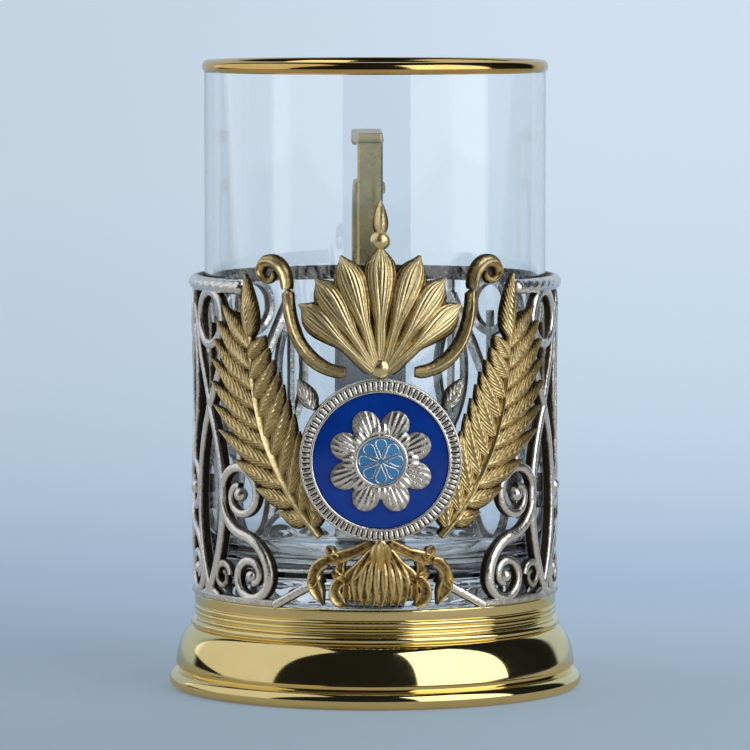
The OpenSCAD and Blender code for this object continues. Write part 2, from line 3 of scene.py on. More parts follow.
import bpy
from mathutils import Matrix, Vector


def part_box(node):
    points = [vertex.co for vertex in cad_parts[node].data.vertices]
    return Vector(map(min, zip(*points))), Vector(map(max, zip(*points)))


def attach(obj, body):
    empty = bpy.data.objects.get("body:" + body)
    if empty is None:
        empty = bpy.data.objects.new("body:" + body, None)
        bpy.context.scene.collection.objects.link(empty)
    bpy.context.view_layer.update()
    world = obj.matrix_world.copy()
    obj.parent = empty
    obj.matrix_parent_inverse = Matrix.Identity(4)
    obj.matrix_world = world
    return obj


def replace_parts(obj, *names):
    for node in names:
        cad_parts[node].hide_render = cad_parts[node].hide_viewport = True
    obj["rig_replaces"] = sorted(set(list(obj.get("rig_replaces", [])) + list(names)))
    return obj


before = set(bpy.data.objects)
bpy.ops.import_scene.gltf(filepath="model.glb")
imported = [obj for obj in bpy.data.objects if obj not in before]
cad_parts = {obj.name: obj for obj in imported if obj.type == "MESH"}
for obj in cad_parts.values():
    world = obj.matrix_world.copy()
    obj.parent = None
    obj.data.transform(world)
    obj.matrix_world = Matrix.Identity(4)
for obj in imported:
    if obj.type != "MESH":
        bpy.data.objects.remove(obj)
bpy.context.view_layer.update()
mm = 0.001
print("frame loaded")

# radii of the wall and heights of the main parts, in millimetres, as the frame has them
wall = {
    "inner": 34.5,
    "outer": 36.6,
    "middle": 35.55,
    "front": 36.85,  # where the cartouche lies
    "collarTop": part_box("base_collar")[1].z * 1000,
    "glassTop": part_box("glass_gilt_lip")[1].z * 1000,
    "medallionHeight": (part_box("medallion_border")[0].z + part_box("medallion_border")[1].z) * 500,
}


# materials

def newMaterial(name):
    material = bpy.data.materials.new(name)
    material.use_nodes = True
    return material, material.node_tree, material.node_tree.nodes["Principled BSDF"]


def fillSockets(tree, node, values):
    # a socket among the values is linked, anything else is set
    for key, value in values.items():
        if isinstance(value, bpy.types.NodeSocket):
            tree.links.new(value, node.inputs[key])
        else:
            node.inputs[key].default_value = value


def addNode(tree, kind, values=None, **settings):
    node = tree.nodes.new(kind)
    for key, value in settings.items():
        setattr(node, key, value)
    fillSockets(tree, node, values or {})
    return node


def mathOn(tree, operation, *values, **settings):
    node = addNode(tree, "ShaderNodeMath", dict(enumerate(values)), operation=operation, **settings)
    return node.outputs[0]


def mixOn(tree, factor, *tones):
    # each tone is a socket or a plain colour
    ends = [tone if isinstance(tone, bpy.types.NodeSocket) else (*tone, 1) for tone in tones]
    return addNode(tree, "ShaderNodeMix", {"Factor": factor, "A": ends[0], "B": ends[1]},
                   data_type="RGBA").outputs["Result"]


def rampOn(tree, fac, stops):
    # each stop is its place and a colour, or a number for a grey
    ramp = addNode(tree, "ShaderNodeValToRGB", {"Fac": fac})
    elements = ramp.color_ramp.elements
    while len(elements) < len(stops):
        elements.new(0.5)
    for element, (place, shade) in zip(elements, stops):
        element.position = place
        element.color = (*shade, 1) if isinstance(shade, tuple) else (shade, shade, shade, 1)
    return ramp.outputs["Color"]


def noiseOn(tree, scale, detail=4.0, roughness=0.55, stretch=None):
    source = addNode(tree, "ShaderNodeTexCoord").outputs["Object"]
    if stretch:
        source = addNode(tree, "ShaderNodeMapping", {"Vector": source, "Scale": stretch}).outputs["Vector"]
    return addNode(tree, "ShaderNodeTexNoise", {
        "Vector": source, "Scale": scale, "Detail": detail, "Roughness": roughness}).outputs["Fac"]


def bumpFrom(tree, shader, height, strength, distance):
    bump = addNode(tree, "ShaderNodeBump", {"Height": height, "Strength": strength, "Distance": distance})
    tree.links.new(bump.outputs["Normal"], shader.inputs["Normal"])


# cloud, haze and skin are noises (scale, detail, roughness, stretch) under the tone, the gloss and the bump;
# bump is its strength and depth
brushed = (90, 4, 0.6, (1.0, 1.0, 0.08))
metals = {
    "polishedGold": {
        "cloud": (38, 3), "tones": [(0.3, (0.87, 0.70, 0.31)), (0.62, (0.93, 0.78, 0.38))],
        "haze": (120, 6, 0.7), "gloss": [(0.35, 0.045), (0.75, 0.11)],
        "skin": (60, 2, 0.4), "bump": (0.06, 0.0004),
    },
    "satinGold": {
        "cloud": (75, 5, 0.65), "tones": [(0.3, (0.58, 0.42, 0.17)), (0.7, (0.84, 0.66, 0.31))],
        "haze": (160, 5, 0.7), "gloss": [(0.3, 0.22), (0.75, 0.4)],
        "skin": (110, 4, 0.6), "bump": (0.3, 0.0005),
    },
    "plainSilver": {
        "cloud": brushed, "tones": [(0.25, (0.76, 0.75, 0.72)), (0.75, (0.94, 0.93, 0.91))],
        "haze": brushed, "gloss": [(0.2, 0.32), (0.8, 0.2)],
        "skin": brushed, "bump": (0.12, 0.0002),
    },
    "giltLip": {
        "cloud": (60, 4, 0.6), "tones": [(0.3, (0.72, 0.45, 0.13)), (0.7, (0.88, 0.62, 0.24))],
        "haze": (200, 4), "gloss": [(0.3, 0.08), (0.8, 0.16)],
        "skin": (150, 3), "bump": (0.08, 0.0002),
    },
}


def metalMaterial(name):
    look = metals[name]
    material, tree, shader = newMaterial(name)
    fillSockets(tree, shader, {
        "Base Color": rampOn(tree, noiseOn(tree, *look["cloud"]), look["tones"]),
        "Roughness": rampOn(tree, noiseOn(tree, *look["haze"]), look["gloss"]),
        "Metallic": 1,
    })
    bumpFrom(tree, shader, noiseOn(tree, *look["skin"]), *look["bump"])
    return material


# hollow is the patina tone with painted shade in it, for the hollows and the sides of the straps; crown is
# the polished top
antique = {
    "antiqueGold": {"crown": (0.96, 0.80, 0.44), "middle": (0.62, 0.46, 0.20),
                    "hollow": (0.07, 0.05, 0.022), "gloss": 0.28},
    "antiqueSilver": {"crown": (0.98, 0.97, 0.94), "middle": (0.62, 0.59, 0.53),
                      "hollow": (0.095, 0.07, 0.045), "gloss": 0.24},
}


def antiqueMaterial(name):
    # the relief attribute is 0 in the hollows and 1 on the crowns that handling has polished, and the dark
    # tone it gives the hollows and the sides of the straps is patina with painted shade in it; the chase
    # attribute counts the fine lines that the graver cut along a leaf
    look = antique[name]
    material, tree, shader = newMaterial(name)
    relief = addNode(tree, "ShaderNodeAttribute", attribute_name="relief").outputs["Fac"]
    chase = addNode(tree, "ShaderNodeAttribute", attribute_name="chase").outputs["Fac"]
    line = mathOn(tree, "SINE", mathOn(tree, "MULTIPLY", chase, 2 * math.pi))
    # the relief brings patina with painted shade; the chased lines, rubbed patches and pits below are the
    # metal's own wear
    wearAndShade = mathOn(tree, "MULTIPLY_ADD", line, 0.16, relief)
    wearAndShade = mathOn(tree, "MULTIPLY_ADD", noiseOn(tree, 420, 5, 0.65), 0.75, wearAndShade)  # rubbed patches
    wearAndShade = mathOn(tree, "MULTIPLY_ADD", noiseOn(tree, 1500, 3, 0.6), 0.8, wearAndShade)  # pits
    shade = mathOn(tree, "SUBTRACT", wearAndShade, 0.93, use_clamp=True)
    fillSockets(tree, shader, {
        "Base Color": rampOn(tree, shade, [
            (0.05, look["hollow"]), (0.42, look["middle"]), (0.72, look["crown"])]),
        "Roughness": rampOn(tree, shade, [(0.1, 0.6), (0.7, look["gloss"])]),
        "Metallic": 1,
    })
    skin = mathOn(tree, "MULTIPLY_ADD", line, 0.35, noiseOn(tree, 900, 4, 0.6))
    bumpFrom(tree, shader, skin, 0.55, 0.0003)
    return material


enamels = {
    "blueEnamel": [(0.32, (0.0, 0.034, 0.27)), (0.68, (0.0, 0.053, 0.35))],
    "lightEnamel": [(0.32, (0.035, 0.19, 0.44)), (0.68, (0.085, 0.30, 0.58))],
}


def enamelMaterial(name):
    material, tree, shader = newMaterial(name)
    fillSockets(tree, shader, {
        "Base Color": rampOn(tree, noiseOn(tree, 130, 4, 0.6), enamels[name]),
        "Roughness": 0.3,
        "Specular IOR Level": 0.15,
        "Coat Weight": 0.6,
        "Coat Roughness": 0.06,
    })
    bumpFrom(tree, shader, noiseOn(tree, 70, 2, 0.4), 0.1, 0.0004)
    return material


def clearGlassMaterial():
    material, tree, shader = newMaterial("clearGlass")
    fillSockets(tree, shader, {
        "Base Color": (0.985, 0.995, 1.0, 1),
        "Transmission Weight": 1,
        "IOR": 1.48,
        "Roughness": rampOn(tree, noiseOn(tree, 45, 3, 0.5), [(0.35, 0.0), (0.8, 0.015)]),
    })
    bumpFrom(tree, shader, noiseOn(tree, 22, 1, 0.3), 0.05, 0.0006)
    return material


finishes = {
    "polished_gold": metalMaterial("polishedGold"),
    "satin_gold": metalMaterial("satinGold"),
    "antique_gold": antiqueMaterial("antiqueGold"),
    "antique_silver": antiqueMaterial("antiqueSilver"),
    "plain_silver": metalMaterial("plainSilver"),
    "blue_enamel": enamelMaterial("blueEnamel"),
    "light_enamel": enamelMaterial("lightEnamel"),
    "clear_glass": clearGlassMaterial(),
    "gilt_lip": metalMaterial("giltLip"),
}
print("materials ready")


# ways of working

def onlyPick(piece):
    if bpy.context.object and bpy.context.object.mode != "OBJECT":
        bpy.ops.object.mode_set(mode="OBJECT")
    bpy.ops.object.select_all(action="DESELECT")
    piece.select_set(True)
    bpy.context.view_layer.objects.active = piece


def editWhole(piece, *steps):
    # takes each step, an operator and its settings, on the whole mesh
    onlyPick(piece)
    bpy.ops.object.mode_set(mode="EDIT")
    for operator, settings in steps:
        bpy.ops.mesh.select_all(action="SELECT")
        operator(**settings)
    bpy.ops.object.mode_set(mode="OBJECT")


def moveEach(piece, place):
    for vertex in piece.data.vertices:
        vertex.co = place(*vertex.co)


def addValues(piece, name, values):
    attribute = piece.data.attributes.new(name, "FLOAT", "POINT")
    attribute.data.foreach_set("value", values)


def applyModifiers(piece):
    onlyPick(piece)
    for modifier in list(piece.modifiers):
        bpy.ops.object.modifier_apply(modifier=modifier.name)


def addBevel(piece, width, segments, limit=30):
    bevel = piece.modifiers.new("soften", "BEVEL")
    bevel.width = width
    bevel.segments = segments
    bevel.limit_method = "ANGLE"
    bevel.angle_limit = math.radians(limit)


def joinPieces(parts):
    onlyPick(parts[0])
    for part in parts[1:]:
        part.select_set(True)
    if len(parts) > 1:
        bpy.ops.object.join()
    return parts[0]


def outwardNormals(piece):
    editWhole(piece, (bpy.ops.mesh.remove_doubles, {"threshold": 2e-6}),
              (bpy.ops.mesh.normals_make_consistent, {"inside": False}))


def finishPiece(piece, name, slotName, body, nodes=(), smooth=40):
    onlyPick(piece)
    piece.name = name
    piece.data.name = name
    bpy.ops.object.shade_smooth_by_angle(angle=math.radians(smooth))
    piece.data.materials.clear()
    piece.data.materials.append(finishes[slotName])
    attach(piece, body)
    if nodes:
        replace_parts(piece, *nodes)
    return piece


def finishSolid(parts, name, slotName, body, nodes=(), smooth=40):
    # joins the parts and turns every face outwards first
    piece = joinPieces(parts)
    outwardNormals(piece)
    return finishPiece(piece, name, slotName, body, nodes, smooth)


def finishMirrored(right, name, node):
    onlyPick(right)
    bpy.ops.object.duplicate()
    left = bpy.context.object
    left.name = name
    moveEach(left, lambda x, y, z: (-x, y, z))
    editWhole(left, (bpy.ops.mesh.flip_normals, {}))
    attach(left, "holder")
    left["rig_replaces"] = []
    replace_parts(left, node)


def arcPoints(x, y, r, start, end, step=8.0):
    count = max(2, int(abs(end - start) / step) + 1)
    angles = [math.radians(start + (end - start) * i / count) for i in range(count + 1)]
    return [(x + r * math.cos(a), y + r * math.sin(a)) for a in angles]


def spunPiece(outline, steps=192, turn=360.0, start=0.0, closed=True):
    # outline is (radius, height) in millimetres; start is the angle from the front, towards +X
    bpy.ops.object.select_all(action="DESELECT")
    bpy.ops.mesh.primitive_plane_add(size=mm)
    piece = bpy.context.object
    aside, along = math.sin(math.radians(start)), -math.cos(math.radians(start))
    bpy.ops.object.mode_set(mode="EDIT")
    bpy.ops.mesh.select_all(action="SELECT")
    bpy.ops.mesh.merge(type="CENTER")
    r, z = outline[0]
    bpy.ops.transform.translate(value=(r * aside * mm, r * along * mm, z * mm))
    for nextR, nextZ in outline[1:]:
        move = ((nextR - r) * aside * mm, (nextR - r) * along * mm, (nextZ - z) * mm)
        bpy.ops.mesh.extrude_vertices_move(TRANSFORM_OT_translate={"value": move})
        r, z = nextR, nextZ
    bpy.ops.object.mode_set(mode="OBJECT")
    if closed:
        last = len(piece.data.vertices) - 1
        for vertex in piece.data.vertices:
            vertex.select = vertex.index in (0, last)
        bpy.ops.object.mode_set(mode="EDIT")
        bpy.ops.mesh.edge_face_add()
        bpy.ops.object.mode_set(mode="OBJECT")
    bpy.ops.object.mode_set(mode="EDIT")
    bpy.ops.mesh.select_all(action="SELECT")
    bpy.ops.mesh.spin(steps=steps, angle=math.radians(-turn), center=(0, 0, 0), axis=(0, 0, 1))
    bpy.ops.mesh.select_all(action="SELECT")
    bpy.ops.mesh.remove_doubles(threshold=2e-6)
    if turn < 360:
        bpy.ops.mesh.fill_holes(sides=0)
    bpy.ops.mesh.select_all(action="SELECT")
    bpy.ops.mesh.normals_make_consistent(inside=False)
    bpy.ops.object.mode_set(mode="OBJECT")
    return piece


def sectionCurve(points):
    bpy.ops.curve.primitive_bezier_circle_add()
    section = bpy.context.object
    section.data.splines.clear()
    spline = section.data.splines.new("POLY")
    spline.points.add(len(points) - 1)
    for place, (x, y) in zip(spline.points, points):
        place.co = (x, y, 0, 1)
    spline.use_cyclic_u = True
    return section


def sweptPiece(strokes, section):
    # each stroke is a list of (x, y, height, width) in millimetres, in a flat plane
    bpy.ops.object.select_all(action="DESELECT")
    bpy.ops.curve.primitive_nurbs_path_add()
    path = bpy.context.object
    data = path.data
    data.splines.clear()
    data.dimensions = "3D"
    data.twist_mode = "Z_UP"
    for stroke in strokes:
        spline = data.splines.new("POLY")
        spline.points.add(len(stroke) - 1)
        for place, (x, y, h, width) in zip(spline.points, stroke):
            place.co = (x, y, h, 1)
            place.radius = width
    data.bevel_mode = "OBJECT"
    data.bevel_object = section
    data.use_fill_caps = True
    onlyPick(path)
    bpy.ops.object.convert(target="MESH")
    return bpy.context.object


def addGrid(columns, rows):
    bpy.ops.object.select_all(action="DESELECT")
    bpy.ops.mesh.primitive_grid_add(x_subdivisions=columns, y_subdivisions=rows, size=2)
    return bpy.context.object


def ballPiece(x, y, h, r, flat=1.0):
    bpy.ops.object.select_all(action="DESELECT")
    bpy.ops.mesh.primitive_uv_sphere_add(segments=20, ring_count=12, radius=r, location=(0, 0, 0))
    ball = bpy.context.object
    moveEach(ball, lambda bx, by, bz: (bx + x, by + y, bz * flat + h))
    return ball


def markRelief(piece, low, high, back=-9.0):
    # stores how high each point stands, before the piece is bent to its place; the material gives the low
    # points patina with painted shade in it; a plain back is clean too
    heights = [vertex.co.z for vertex in piece.data.vertices]
    addValues(piece, "relief", [0.75 if z < back else min(1.0, max(0.0, (z - low) / (high - low)))
                                for z in heights])


def placeOnWall(piece, degrees):
    # x runs round the wall, y up and z outwards from the middle of the wall
    turn = math.radians(degrees)
    across, along = math.cos(turn), math.sin(turn)

    def place(x, y, h):
        r = wall["middle"] + h
        out = math.sqrt(max(r * r - x * x, 0.01))
        return (x * across + out * along) * mm, (x * along - out * across) * mm, y * mm

    moveEach(piece, place)


def placeOnFront(piece, seat=0.0):
    # x is measured along the curved front, y up and z outwards
    def place(x, y, h):
        angle = x / wall["front"]
        r = wall["front"] + seat + h
        return r * math.sin(angle) * mm, -r * math.cos(angle) * mm, y * mm

    moveEach(piece, place)


def placeOnFace(piece, out):
    # flat work: x across, y up and z towards the viewer
    near, middle = wall["outer"] + out, wall["medallionHeight"]
    moveEach(piece, lambda x, y, h: (x * mm, -(near + h) * mm, (middle + y) * mm))


# foot, skirt and collar

foot = {"roll": 1.7, "outer": 41.3, "flatInner": 37.5}


def buildFoot():
    r, inner = foot["roll"], foot["flatInner"]
    outline = [(inner, 0)] + arcPoints(foot["outer"] - r, r, r, -90, 90, 7) + [(inner, 2 * r)]
    finishPiece(spunPiece(outline, 256), "footRing", "polished_gold", "holder", ["foot_ring"], 30)


# the dome is part of an oval whose normals all look above the table; a plain fillet lies under its edge
skirt = {
    "bottom": 3.4,
    "edge": 4.7,
    "fillet": [(39.3, 3.4), (39.36, 3.6), (39.58, 4.45), (39.72, 4.62)],
    "middle": (35.45, 3.4),
    "half": (4.5, 9.2),
    "thick": 1.2,
    "top": 12.4,
    "inner": 31.3,
}


def domePoints(shrink, low, high, count):
    x, z = skirt["middle"]
    a, b = skirt["half"][0] - shrink, skirt["half"][1] - shrink
    start, end = math.asin((low - z) / b), math.asin(min(1.0, (high - z) / b))
    angles = [start + (end - start) * i / count for i in range(count + 1)]
    return [(x + a * math.cos(angle), z + b * math.sin(angle)) for angle in angles]


def buildSkirt():
    s = skirt
    under = s["top"] - s["thick"]
    inside = domePoints(s["thick"], s["bottom"], under, 12)
    outline = s["fillet"] + domePoints(0, s["edge"], s["top"], 28)
    outline += [(s["inner"], s["top"]), (s["inner"], under)] + list(reversed(inside))
    finishPiece(spunPiece(outline, 256), "baseSkirt", "polished_gold", "holder", ["base_skirt"], 22)


collar = {
    "inner": 31.5,
    "bottom": 12.4,
    "top": 19.1,
    "band": 36.1,
    "well": 15.9,
    # the round mouldings from the lowest up: middle, radius, first and last angle, step
    "mouldings": [
        (36.15, 13.1, 0.78, -64, 96, 16),
        (36.1, 14.35, 0.5, 245, 120, 16),
        (35.62, 15.18, 0.54, -72, 72, 14),
        (35.72, 16.25, 0.54, -72, 72, 14),
    ],
}


def buildCollar():
    c = collar
    outline = [(c["inner"], c["bottom"]), (36.3, c["bottom"])]
    for moulding in c["mouldings"]:
        outline += arcPoints(*moulding)
    outline += [(35.95, 16.86), (c["band"], 16.98), (c["band"], 18.72)]
    outline += arcPoints(c["band"] - 0.38, 18.72, 0.38, 10, 90, 16)
    outline += [(wall["inner"], c["top"]), (wall["inner"], c["well"]), (c["inner"], c["well"])]
    finishPiece(spunPiece(outline, 256), "baseCollar", "polished_gold", "holder", ["base_collar"], 30)


buildFoot()
buildSkirt()
buildCollar()
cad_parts["floor_plate"].data.materials.clear()
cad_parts["floor_plate"].data.materials.append(finishes["plain_silver"])
print("base built")


# the pierced sleeve

sleeve = {
    "bay": 34.0,  # degrees from column to column
    "firstColumn": 66.0,
    "bandTop": 20.3,
    "ovalLow": 21.1,
    "ovalHalf": 5.4,
    "crossing": 57.1,
    "archTop": 76.7,
    "ringHeight": 74.7,
    "ringR": 5.2,
    "bigAt": (0.0, 40.5),
    "bigR": 5.7,
    "bigBall": 1.45,
    "lowAt": (-3.1, 24.6),
    "lowR": 4.6,
    "lowBall": 1.25,
    "sideAt": (5.6, 24.0),
    "sideR": 2.7,
    "leafLoop": (49.7, 72.7, 3.2),
    "rimLow": 79.7,
}
strapSection = sectionCurve([
    (-0.7, -1.02), (0.7, -1.02), (0.87, -0.8), (0.93, 0.2), (0.9, 0.55), (0.76, 0.84), (0.45, 1.0),
    (0.2, 1.04), (-0.2, 1.04), (-0.45, 1.0), (-0.76, 0.84), (-0.9, 0.55), (-0.93, 0.2), (-0.87, -0.8)])
# the straps' sides below the low value get the dark hollow tone: patina with painted shade
strapRelief = (0.25, 0.85, -0.9)


def flatStroke(points, h=0.0, width=1.0, endWidth=None):
    count = len(points) - 1
    last = width if endWidth is None else endWidth
    return [(x, y, h, width + (last - width) * i / count) for i, (x, y) in enumerate(points)]


def bowPoints(low, high, bulge):
    half = (high - low) / 2
    b = abs(bulge)
    r = (half * half + b * b) / (2 * b)
    reach = math.degrees(math.asin(half / r))
    side = 1 if bulge > 0 else -1
    return [(-side * px, low + half + py) for px, py in arcPoints(r - b, 0, r, 180 - reach, 180 + reach, 2.0)]


def spiralPoints(at, r, start, turn, endR, ease=1.5):
    # a scroll that tightens towards its end; positive turn is counter-clockwise
    count = int(abs(turn) / 9)
    points = []
    for i in range(count + 1):
        t = i / count
        radius = r + (endR - r) * t ** ease
        angle = math.radians(start + turn * t)
        points.append((at[0] + radius * math.cos(angle), at[1] + radius * math.sin(angle)))
    return points


def linkPoints(p, q):
    # an S between two upright tangents, made of two equal arcs
    across, down = p[0] - q[0], p[1] - q[1]
    r = (across * across + down * down) / (4 * across)
    first, second = (p[0] - r, p[1]), (q[0] + r, q[1])
    lean = math.degrees(math.atan2(second[1] - first[1], second[0] - first[0]))
    return arcPoints(*first, r, 0, lean, 4) + arcPoints(*second, r, 180 + lean, 180, 4)[1:]


def scrollStroke():
    s = sleeve
    big = spiralPoints(s["bigAt"], s["bigR"], 0, 440, 1.6)
    low = spiralPoints(s["lowAt"], s["lowR"], 180, 430, 1.4)
    link = linkPoints((s["bigAt"][0] + s["bigR"], s["bigAt"][1]), (s["lowAt"][0] - s["lowR"], s["lowAt"][1]))
    points = list(reversed(big)) + link[1:-1] + low
    stroke = []
    for i, (x, y) in enumerate(points):
        width = 1.08
        if i < len(big):
            width = 0.74 + 0.34 * i / len(big)
        if i > len(points) - len(low):
            width = 0.72 + 0.36 * (len(points) - i) / len(low)
        stroke.append((x, y, 0.0, width))
    return stroke


def columnStrokes():
    s = sleeve
    crossing, archTop = s["crossing"], s["archTop"]
    across = wall["middle"] * math.sin(math.radians(s["bay"] / 2))
    strokes = []
    for side in (-1, 1):
        strokes.append(flatStroke(bowPoints(s["ovalLow"], crossing, side * s["ovalHalf"]), -0.05 * side))
        arch = [(-side * 1.6, crossing - 3), (0, crossing), (side * across * 0.5, (crossing + archTop) / 2),
                (side * across, archTop)]
        strokes.append(flatStroke(arch, -0.12 * side - 0.1))
        tail = [(-side * 1.6, s["ovalLow"] + 0.6), (side * 3.6, s["bandTop"] - 0.6)]
        strokes.append(flatStroke(tail, -0.1))
    strokes.append(flatStroke(arcPoints(0, s["ringHeight"], s["ringR"], 90, 450, 7), 0.1))
    strokes.append(flatStroke([(0, crossing), (0, s["ringHeight"] - 1)], -0.3, 0.8))
    return strokes


def middleStrokes():
    s = sleeve
    low, high, half = s["leafLoop"]
    strokes = [scrollStroke(), flatStroke([(0, s["bigAt"][1] + s["bigR"] - 0.3), (0, low + 1)], -0.15)]
    for side in (-1, 1):
        strokes.append(flatStroke(bowPoints(low, high, side * half), -0.1, 0.9))
    strokes.append(flatStroke([(0, low), (0, s["rimLow"] + 0.4)], -0.25, 0.75))
    strokes.append(flatStroke(spiralPoints(s["sideAt"], s["sideR"], 170, -430, 0.8), -0.1, 0.85, 0.6))
    return strokes


def sleeveBay(name, node, columns, middle):
    # a column of crossing straps at each angle, and scrolls with balls in their eyes at the middle
    work = [(sweptPiece(columnStrokes(), strapSection), strapRelief, degrees) for degrees in columns]
    work.append((sweptPiece(middleStrokes(), strapSection), strapRelief, middle))
    for eye in ("big", "low"):
        work.append((ballPiece(*sleeve[eye + "At"], 0.1, sleeve[eye + "Ball"], 0.9), (-0.6, 0.8), middle))
    for part, relief, degrees in work:
        markRelief(part, *relief)
        placeOnWall(part, degrees)
    parts = [part for part, relief, degrees in work]
    right = finishSolid(parts, name, "antique_silver", "holder", [node + "_right"], 50)
    finishMirrored(right, name.replace("Right", "Left"), node + "_left")


firstColumn, bay = sleeve["firstColumn"], sleeve["bay"]
sleeveBay("sleeveFrontRight", "sleeve_front", [firstColumn], firstColumn - bay / 2)
sleeveBay("sleeveSideRight", "sleeve_side", [firstColumn + bay], firstColumn + bay / 2)
sleeveBay("sleeveFlankRight", "sleeve_flank", [firstColumn + 2 * bay], firstColumn + 1.5 * bay)
sleeveBay("sleeveRearRight", "sleeve_rear", [], firstColumn + 2.5 * bay)


rim = {"opening": firstColumn - bay / 2, "middle": 35.75, "height": 81.1, "roll": 1.42, "ball": 1.65}


def buildRim():
    opening, middle = rim["opening"], rim["middle"]
    outline = [(wall["inner"], sleeve["rimLow"]), (35.3, 79.62)]
    outline += arcPoints(middle, rim["height"], rim["roll"], -80, 100, 12)
    outline += [(34.9, 82.5), (wall["inner"], 82.3)]
    band = spunPiece(outline, 160, 360 - 2 * opening, opening)
    relief, chase = [], []
    for vertex in band.data.vertices:
        x, y, z = vertex.co
        # the rim's inner side gets the dark hollow tone: patina with painted shade
        relief.append(min(1, max(0.12, (math.hypot(x, y) * 1000 - 34.6) / 1.6)))
        # a twist of fine lines, counted from behind, so that no seam lies where the rim is whole
        chase.append(math.degrees(math.atan2(x, y)) / 4.5 + (z * 1000 - 81) / 2.2)
    addValues(band, "relief", relief)
    addValues(band, "chase", chase)
    parts = [band]
    for side in (-1, 1):
        endX = side * middle * math.sin(math.radians(opening))
        endY = -middle * math.cos(math.radians(opening))
        ball = ballPiece(0, 0, 0, rim["ball"])
        moveEach(ball, lambda x, y, z: ((x + endX) * mm, (y + endY) * mm, (z + 81.05) * mm))
        addValues(ball, "relief", [0.9] * len(ball.data.vertices))
        parts.append(ball)
    finishPiece(joinPieces(parts), "sleeveRim", "antique_silver", "holder", ["sleeve_rim"])


def buildBaseBand():
    opening = rim["opening"] - 14
    inner, outer = wall["inner"], wall["outer"]
    outline = [(inner, 19.1), (36.45, 19.1), (outer, 19.3), (outer, 20.0), (36.35, 20.3), (inner, 20.3)]
    band = spunPiece(outline, 160, 360 - 2 * opening, opening)
    radii = [math.hypot(vertex.co.x, vertex.co.y) for vertex in band.data.vertices]
    # the band's inner face gets the darker tone: patina with painted shade
    addValues(band, "relief", [0.25 if r < 0.0355 else 0.7 for r in radii])
    finishPiece(band, "sleeveBaseBand", "antique_silver", "holder", ["sleeve_base_band"], 30)


def buildBackPlate():
    inner, outer, low, high = wall["inner"], wall["outer"], sleeve["bandTop"], sleeve["rimLow"]
    plate = spunPiece([(inner, low), (outer, low), (outer, high), (inner, high)], 24, 24, 168)
    addBevel(plate, 0.00025, 2)
    applyModifiers(plate)
    finishPiece(plate, "sleeveBackPlate", "plain_silver", "holder", ["sleeve_back_plate"], 30)


def buildBraces():
    parts = []
    for side in (-1, 1):
        bar = sweptPiece([flatStroke([(-6.1, 25.0), (4.33, 19.35)], 0, 0.95)], strapSection)
        markRelief(bar, *strapRelief)
        placeOnWall(bar, 28)
        moveEach(bar, lambda x, y, z: (-side * x, y, z))
        parts.append(bar)
    finishSolid(parts, "palmetteBraces", "antique_silver", "holder", ["palmette_braces"], 50)


buildRim()
buildBaseBand()
buildBackPlate()
buildBraces()
print("sleeve built")


# leaves of the cartouche

def heading(lie, t):
    return lie[0] + lie[1] * t + lie[2] * t * t


def midline(at, lie, length, count):
    points = [at]
    for i in range(count):
        a = math.radians(heading(lie, (i + 0.5) / count))
        x, y = points[-1]
        points.append((x + length / count * math.sin(a), y + length / count * math.cos(a)))
    return points


leafColumns = [-1.0, -1.0, -0.86, -0.62, -0.36, -0.14, -0.05, 0.05, 0.14, 0.36, 0.62, 0.86, 1.0, 1.0]
leafSteps = 40  # of the middle line
plainLeaf = {
    "root": 0.45, "belly": 0.6, "tip": 0.1, "roundTip": 0.12,  # of the outline
    "lift": 2.2, "edge": 0.42, "rib": 0.18, "groove": 0.0, "dish": 0.0, "veins": 0,  # of the section
}


def leafHalf(form, width, t):
    swell = max(math.sin(math.pi * min(1, t ** form["belly"])), 0) ** 0.8
    half = width / 2 * max(swell, form["root"] if t < 0.5 else form["tip"])
    if t > 1 - form["roundTip"]:
        q = (t - 1 + form["roundTip"]) / form["roundTip"]
        half *= math.sqrt(max(0.02, 1 - q * q))
    if t < 0.05:
        half *= 0.75 + 5 * t
    return half


def leafCrown(form, t, u):
    # 1 on the crown; u runs from edge to edge, and a dished leaf is a gutter between two raised edges
    if form["dish"]:
        crown = 1 - form["dish"] * max(0, 1 - (u / 0.66) ** 2) - 0.3 * max(0, (abs(u) - 0.66) / 0.34) ** 2
    else:
        crown = form["edge"] + (1 - form["edge"]) * (1 - abs(u) ** 2.2)
        crown += form["rib"] * math.exp(-(u / 0.12) ** 2) * math.sin(math.pi * min(1, t * 1.05 + 0.02))
        crown -= form["groove"] * math.exp(-((abs(u) - 0.36) / 0.2) ** 2)
    if form["veins"]:
        wave = math.sin(2 * math.pi * (form["veins"] * t - 1.6 * abs(u)))
        crown -= 0.05 * (0.5 + 0.5 * wave) * (1 - abs(u) ** 4)
    return crown


